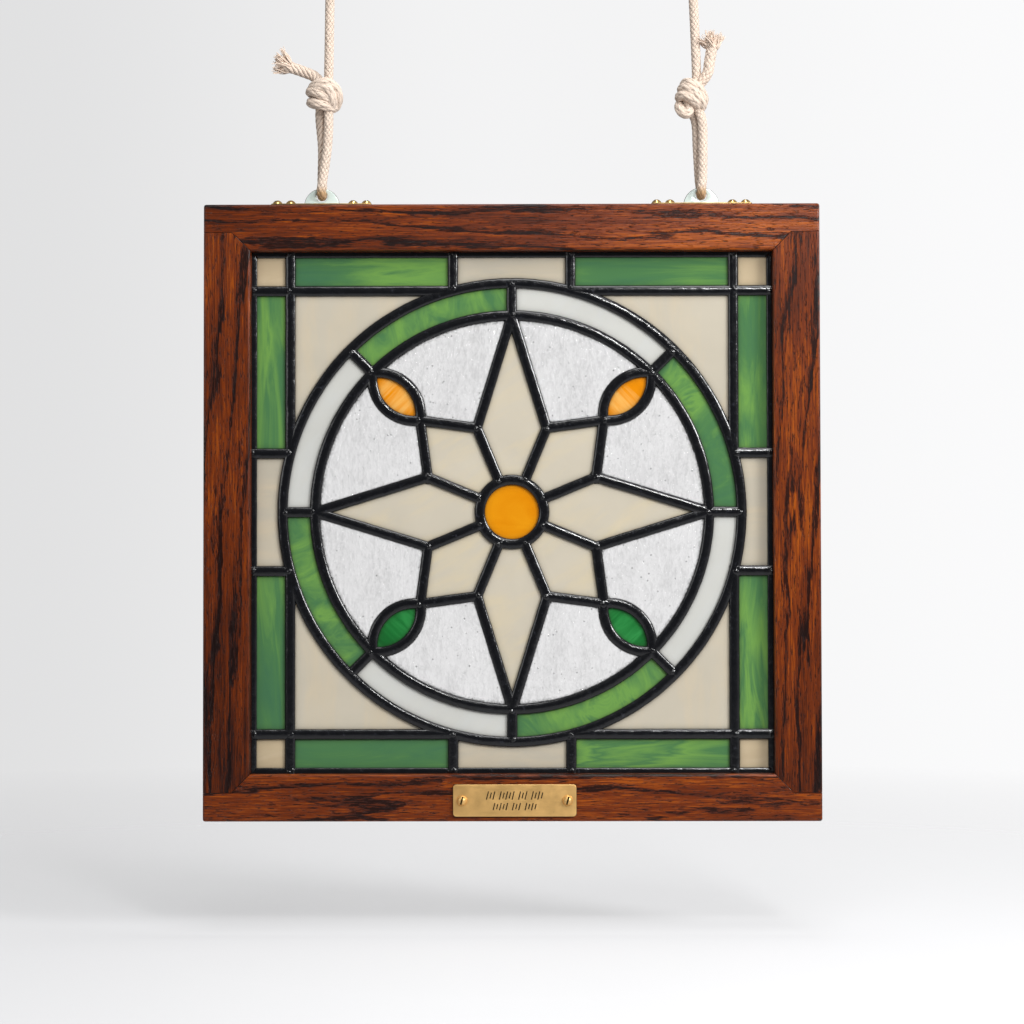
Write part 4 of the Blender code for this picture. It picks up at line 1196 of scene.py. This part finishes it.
def clear_material():
    """Clear seedy glass: see-through, faintly crinkled, with dark seeds and dark flecks of painted shade by
    the leads.
    """
    colour = settings().glass.clear
    material, tree, shader = new_material(
        "clear seedy glass", 0.05, Transmission_Weight=1.0, IOR=1.45)
    place = placed(tree)
    cells = node(tree, "ShaderNodeTexVoronoi", Vector=place, Scale=260.0).outputs["Distance"]
    pick = steps(noise(place, 150.0, 1.0), 0.55, 0.60)
    dark = times(steps(cells, 0.07, 0.15, 1.0, 0.0), pick)
    # Dark flecks close beside the leads, placed by an ambient-occlusion test and broken up by grit: painted
    # shade.
    near = node(tree, "ShaderNodeAmbientOcclusion", {"samples": 6}, Distance=0.0035).outputs["AO"]
    grit = calculate("MULTIPLY_ADD", noise(place, 900.0, 3.0, 0.7), 0.7, -0.35)
    shade_flecks = steps(added(near, grit), 0.46, 0.58, 1.0, 0.0)
    crinkle = noise(placed(tree, (1.0, 1.0, 0.45)), 420.0, 4.0, 0.65, 0.6)
    cloud = noise(placed(tree, (1.0, 1.0, 0.5)), 60.0, 2.0)
    shown = added(times(crinkle, 0.7), times(cloud, 0.3))
    tinted = ramp(shown, (0.36, shade(colour, 0.78)), (0.50, shade(colour, 0.94)), (0.62, tuple(colour)))
    marked = mixed(calculate("MAXIMUM", dark, shade_flecks), tinted, (0.03, 0.03, 0.03))
    feed(shader, Base_Color=marked, Normal=bump(added(crinkle, times(dark, 0.5)), 0.0010, 0.5))
    return material


def make_glass():
    """The panes stay as they are in the frame, and each takes its own glass."""
    glass = settings().glass
    warm = (0.60, 0.50, 0.345)
    hub = ((0.50, 0.15, 0.001), (0.68, 0.23, 0.001), (0.74, 0.30, 0.006))
    green = ((0.045, 0.138, 0.078), tuple(glass.green), (0.150, 0.315, 0.070))
    leaf = (shade(glass.leaf, 0.6), tuple(glass.leaf), (0.03, 0.25, 0.06))
    amber = (shade(glass.amber, 0.85), tuple(glass.amber), (0.80, 0.42, 0.10))
    plain = {
        "glass_corner": opal_material("cream opal corner", (0.52, 0.415, 0.27), warm, 0.3),
        "glass_side": opal_material("cream opal side", shade(glass.cream, 0.92), warm, 0.0, 0.4),
        "glass_spandrel": opal_material("cream opal spandrel", tuple(glass.cream), warm, RIGHT_ANGLE, 0.8),
        "glass_ray": opal_material("cream opal ray", shade(glass.cream, 1.06), (0.66, 0.55, 0.34), 0.5, 1.2),
        "glass_border_level": streaky_material("green glass level", *green, 9.0, 75.0),
        "glass_border_upright": streaky_material("green glass upright", *green, 75.0, 9.0, shift=0.3),
        "glass_hub": streaky_material("amber glass hub", *hub, 20.0, 60.0, contrast=0.3),
        "glass_field": clear_material(),
    }
    white = opal_material("white opal ring", tuple(glass.white), (0.57, 0.585, 0.575), 0.9)
    for name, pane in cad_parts.items():
        if not name.startswith("glass"):
            continue
        stem, _, number = name.rpartition("_")
        material = plain.get(stem) or plain.get(name)
        if stem == "glass_ring":
            k = int(number) - 1
            angle = (k + 0.5) * EIGHTH
            material = white if k % 2 else streaky_material(
                f"green glass ring {number}", *green, 30.0, 60.0, turn=angle, shift=0.1 * k)
        elif stem == "glass_oval":
            k = int(number)
            tones = amber if k <= 2 else leaf
            material = streaky_material(
                f"oval glass {number}", *tones, 120.0, 14.0, turn=(2 * k - 1) * EIGHTH, shift=0.2 * k)
        clothe(pane, material)


# Oak


def oak_material(name, along, heart, tone_and_light_ends, ends):
    """Stained open-pored oak. along is the axis that the grain runs in: 0 for X and 2 for Z.

    heart is the middle of the growth rings; the next argument gives how much warmer and lighter the board is
    at its two ends, partly its own tone and partly painted light, lighter towards the upper right.
    """
    oak = settings().oak
    material, tree, shader = new_material(name, 0.32, Specular_IOR_Level=0.25)

    def stretched(across, length, depth=None):
        scale = [across, depth or across, across]
        scale[along] = length
        return placed(tree, tuple(scale), shift=(heart[0], heart[1] * 0.6, heart[2] * 1.3))

    narrow = [1.0, 1.0, 1.0]
    narrow[along] = 0.085
    place = own_place(tree)
    radius = vectors("LENGTH", vectors("MULTIPLY", vectors("SUBTRACT", place, heart), narrow))
    bend = noise(stretched(50.0, 6.0, 25.0), 1.0, 5.0, 0.62)
    ringed = calculate("FRACT", added(times(radius, 135.0), times(bend, 3.0)))
    early = times(steps(ringed, 0.0, 0.06), steps(ringed, 0.14, 0.36, 1.0, 0.0))
    patchy = noise(stretched(60.0, 9.0), 1.0, 2.0)
    early = times(early, steps(patchy, 0.34, 0.56, 0.35, 1.0))
    fibres = noise(stretched(1100.0, 45.0), 1.0, 4.0, 0.75)
    figure = noise(stretched(150.0, 7.0, 60.0), 1.0, 4.0, 0.6, 0.3)
    pores = noise(stretched(1300.0, 140.0), 1.0, 3.0, 0.7)
    glow = noise(stretched(16.0, 7.0), 1.0, 2.0)
    # Lighter towards the upper or right end: partly the board's own tone, partly painted light.
    drift = steps(parts_of(place)[along], *ends, *tone_and_light_ends)
    tone = added(times(figure, 0.28), times(fibres, 0.60), times(glow, 0.34))
    tone = added(less(tone, times(early, 0.14)), drift)
    base = ramp(
        tone, (0.34, tuple(oak.dark)), (0.45, shade(oak.stain, 0.55)), (0.55, tuple(oak.stain)),
        (0.68, tuple(oak.light)))
    open_pores = steps(added(pores, calculate("MULTIPLY_ADD", early, 0.19, -0.03)), 0.54, 0.59)
    base = mixed(times(open_pores, 0.85), base, shade(oak.dark, 0.5))
    sunk = bump(less(1.0, open_pores), 0.00030, 0.7, bump(fibres, 0.00025, 0.5))
    feed(shader, Base_Color=base, Roughness=steps(fibres, 0.3, 0.7, 0.38, 0.26), Normal=sunk)
    return material


def make_oak():
    """Gives each member its own board: the grain's axis, its heart and how much warmer and lighter it is at
    both ends, partly its own tone and partly painted light from the upper right.
    """
    members = (
        ("frame_top_rail", 0, (-0.20, 0.030, -0.235), (-0.105, -0.045)),
        ("frame_bottom_rail", 0, (0.05, 0.020, -0.565), (-0.100, -0.055)),
        ("frame_left_stile", 2, (-0.150, 0.022, -0.62), (-0.175, -0.080)),
        ("frame_right_stile", 2, (0.205, 0.024, -0.75), (-0.100, -0.055)))
    for name, along, heart, tone_and_light_ends in members:
        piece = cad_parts[name]
        low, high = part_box(name)
        label = "oak " + name[6:].replace("_", " ")
        clothe(piece, oak_material(label, along, heart, tone_and_light_ends, (low[along], high[along])))


# Stage


# Each light's name, place, aim, width and power in watts.
LIGHTS = (
    ("key light", (1.4, -1.15, 0.35), (0.0, 0.0, PANEL_Z), 0.6, 26.0),
    ("fill light", (-1.4, -1.3, 0.0), (0.0, 0.0, PANEL_Z), 0.8, 3.5),
    ("top light", (0.15, -1.0, 1.15), (0.0, 0.0, PANEL_Z), 0.9, 11.0),
    ("gloss light", (0.36, -1.28, 0.32), (0.15, 0.0, -0.15), 0.20, 7.0),
    ("overhead light", (0.12, 0.0, 1.00), (0.0, 0.0, -0.6), 0.25, 3.5),
)


def area_light(name, place, target, size, power):
    lamp = bpy.data.lights.new(name, "AREA")
    lamp.shape = "DISK"
    lamp.size = size
    lamp.energy = power
    made = new_object(name, lamp)
    made.location = place
    made.rotation_euler = (Vector(target) - Vector(place)).to_track_quat("-Z", "Y").to_euler()


def make_world():
    """A pale backdrop where it is seen, painted darker to the left and lighter to the right, and on the
    panel a softer light, dimmest from the front.
    """
    stage = settings().stage
    world = bpy.data.worlds.new("studio")
    world.use_nodes = True
    tree = world.node_tree
    background = tree.nodes["Background"]
    place = tree.nodes.new("ShaderNodeTexCoord").outputs["Generated"]
    across, away, _ = parts_of(place)
    pale = stage.backdrop
    # The backdrop as seen is painted darker to the left and lighter to the right: painted light.
    seen = ramp(
        steps(across, -0.5, 0.5), (0.28, shade(pale, 0.86)), (0.5, shade(pale, 1.03)),
        (0.72, shade(pale, 1.10)), smooth=True)
    soft = ramp(
        steps(across, -1.0, 1.0), (0.1, shade(pale, stage.ambient * 0.6)),
        (0.9, shade(pale, stage.ambient * 1.4)))
    soft = mixed(steps(away, -0.97, -0.55, 0.15, 1.0), (0.0, 0.0, 0.0), soft)
    ray = tree.nodes.new("ShaderNodeLightPath").outputs
    direct = calculate("MAXIMUM", ray["Is Camera Ray"], ray["Is Transmission Ray"])
    feed(background, Color=mixed(direct, soft, seen))
    bpy.context.scene.world = world


def make_floor():
    """A pale round floor that fades into the backdrop."""
    stage = settings().stage
    height = FRAME_LOW.z - stage.floor_drop
    shape = bmesh.new()
    bmesh.ops.create_circle(
        shape, cap_ends=True, segments=96, radius=stage.floor_radius,
        matrix=Matrix.Translation((0.0, 0.0, height)))
    material, tree, shader = new_material("pale floor", 0.95)
    away = vectors("LENGTH", vectors("MULTIPLY", own_place(tree), (1.0, 1.0, 0.0)))
    solid = steps(away, stage.floor_radius * 0.15, stage.floor_radius * 0.95, 0.5, 0.0)
    feed(shader, Base_Color=(0.84, 0.84, 0.86, 1.0), Alpha=solid)
    mesh_object("floor", shape, material)


def make_camera():
    stage = settings().stage
    lens = bpy.data.cameras.new("camera")
    lens.lens = stage.lens
    camera = new_object("camera", lens)
    camera.location = stage.camera_place
    camera.rotation_euler = stage.camera_turn
    bpy.context.scene.camera = camera


class LEADEDPANEL_OT_stage(bpy.types.Operator):
    """Add the camera, the lights, the backdrop and the floor"""

    bl_idname = "leaded_panel.stage"
    bl_label = "Stage"

    def execute(self, context):
        make_camera()
        make_world()
        make_floor()
        for light in LIGHTS:
            area_light(*light)
        context.scene.view_settings.view_transform = "Standard"
        return {"FINISHED"}


class LEADEDPANEL_OT_ropes(bpy.types.Operator):
    """Add the two cotton ropes with their knots and frayed ends"""

    bl_idname = "leaded_panel.ropes"
    bl_label = "Ropes"

    def execute(self, context):
        material = cotton_material()
        make_rope("rope_left", LEFT_ROPE, LEFT_KNOT, LEFT_TUFTS, material)
        make_rope("rope_right", RIGHT_ROPE, RIGHT_KNOT, RIGHT_TUFTS, material)
        return {"FINISHED"}


class LEADEDPANEL_OT_metalwork(bpy.types.Operator):
    """Add the brass hangers and the plate"""

    bl_idname = "leaded_panel.metalwork"
    bl_label = "Metalwork"

    def execute(self, context):
        metal = settings().metal
        brass = metal_material("brass", metal.brass, 0.20)
        # The tabs' faces: a pale, hardly metallic colour, a painted reflection of the bright studio.
        tab_metal = metal_material("polished tab", tuple(metal.tab), 0.15, 0.1)
        # Near-black brass: in the screws' slots it is painted shade; it also darkens the tabs' outer edges.
        slot_metal = metal_material("tarnished brass", shade(metal.brass, 0.12), 0.5)
        # The straps take the same brass painted darker, which is painted shade, and rougher.
        strap_metal = metal_material("dull brass", shade(metal.brass, 0.45), 0.35)
        make_hanger("hanger_left", -HANGER_X, brass, strap_metal, tab_metal, slot_metal)
        make_hanger("hanger_right", HANGER_X, brass, strap_metal, tab_metal, slot_metal)
        make_plate(metal_material("stamped brass", metal.plate, 0.36, 0.65, PLATE_FRONT), slot_metal)
        return {"FINISHED"}


class LEADEDPANEL_OT_leads(bpy.types.Operator):
    """Add the lattice of leads"""

    bl_idname = "leaded_panel.leads"
    bl_label = "Leads"

    def execute(self, context):
        make_leads()
        return {"FINISHED"}


class LEADEDPANEL_OT_glass(bpy.types.Operator):
    """Give every pane its glass"""

    bl_idname = "leaded_panel.glass"
    bl_label = "Glass"

    def execute(self, context):
        make_glass()
        return {"FINISHED"}


class LEADEDPANEL_OT_oak(bpy.types.Operator):
    """Give the frame its stained oak"""

    bl_idname = "leaded_panel.oak"
    bl_label = "Oak frame"

    def execute(self, context):
        make_oak()
        return {"FINISHED"}


OPERATORS = (
    LEADEDPANEL_OT_stage,
    LEADEDPANEL_OT_ropes,
    LEADEDPANEL_OT_metalwork,
    LEADEDPANEL_OT_leads,
    LEADEDPANEL_OT_glass,
    LEADEDPANEL_OT_oak,
)


class LEADEDPANEL_PT_sidebar(bpy.types.Panel):
    """Lists the pieces of the panel and their settings"""

    bl_label = "Leaded glass panel"
    bl_idname = "LEADEDPANEL_PT_sidebar"
    bl_space_type = "VIEW_3D"
    bl_region_type = "UI"
    bl_category = "Panel"

    def draw(self, context):
        for operator in OPERATORS:
            self.layout.operator(operator.bl_idname)
        for group in PanelSettings.__annotations__:
            values = getattr(context.scene.leaded_panel, group)
            box = self.layout.box()
            box.label(text=group.title())
            for name in values.__annotations__:
                box.prop(values, name)


CLASSES = (
    StageSettings, RopeSettings, MetalSettings, LeadSettings, GlassSettings, OakSettings, PanelSettings,
    *OPERATORS, LEADEDPANEL_PT_sidebar)


def register():
    for cls in CLASSES:
        bpy.utils.register_class(cls)
    bpy.types.Scene.leaded_panel = PointerProperty(type=PanelSettings)


def unregister():
    del bpy.types.Scene.leaded_panel
    for cls in reversed(CLASSES):
        bpy.utils.unregister_class(cls)


def main():
    register()
    bpy.ops.leaded_panel.stage()
    bpy.ops.leaded_panel.ropes()
    bpy.ops.leaded_panel.metalwork()
    bpy.ops.leaded_panel.leads()
    bpy.ops.leaded_panel.glass()
    bpy.ops.leaded_panel.oak()
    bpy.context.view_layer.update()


if __name__ == "__main__":
    main()
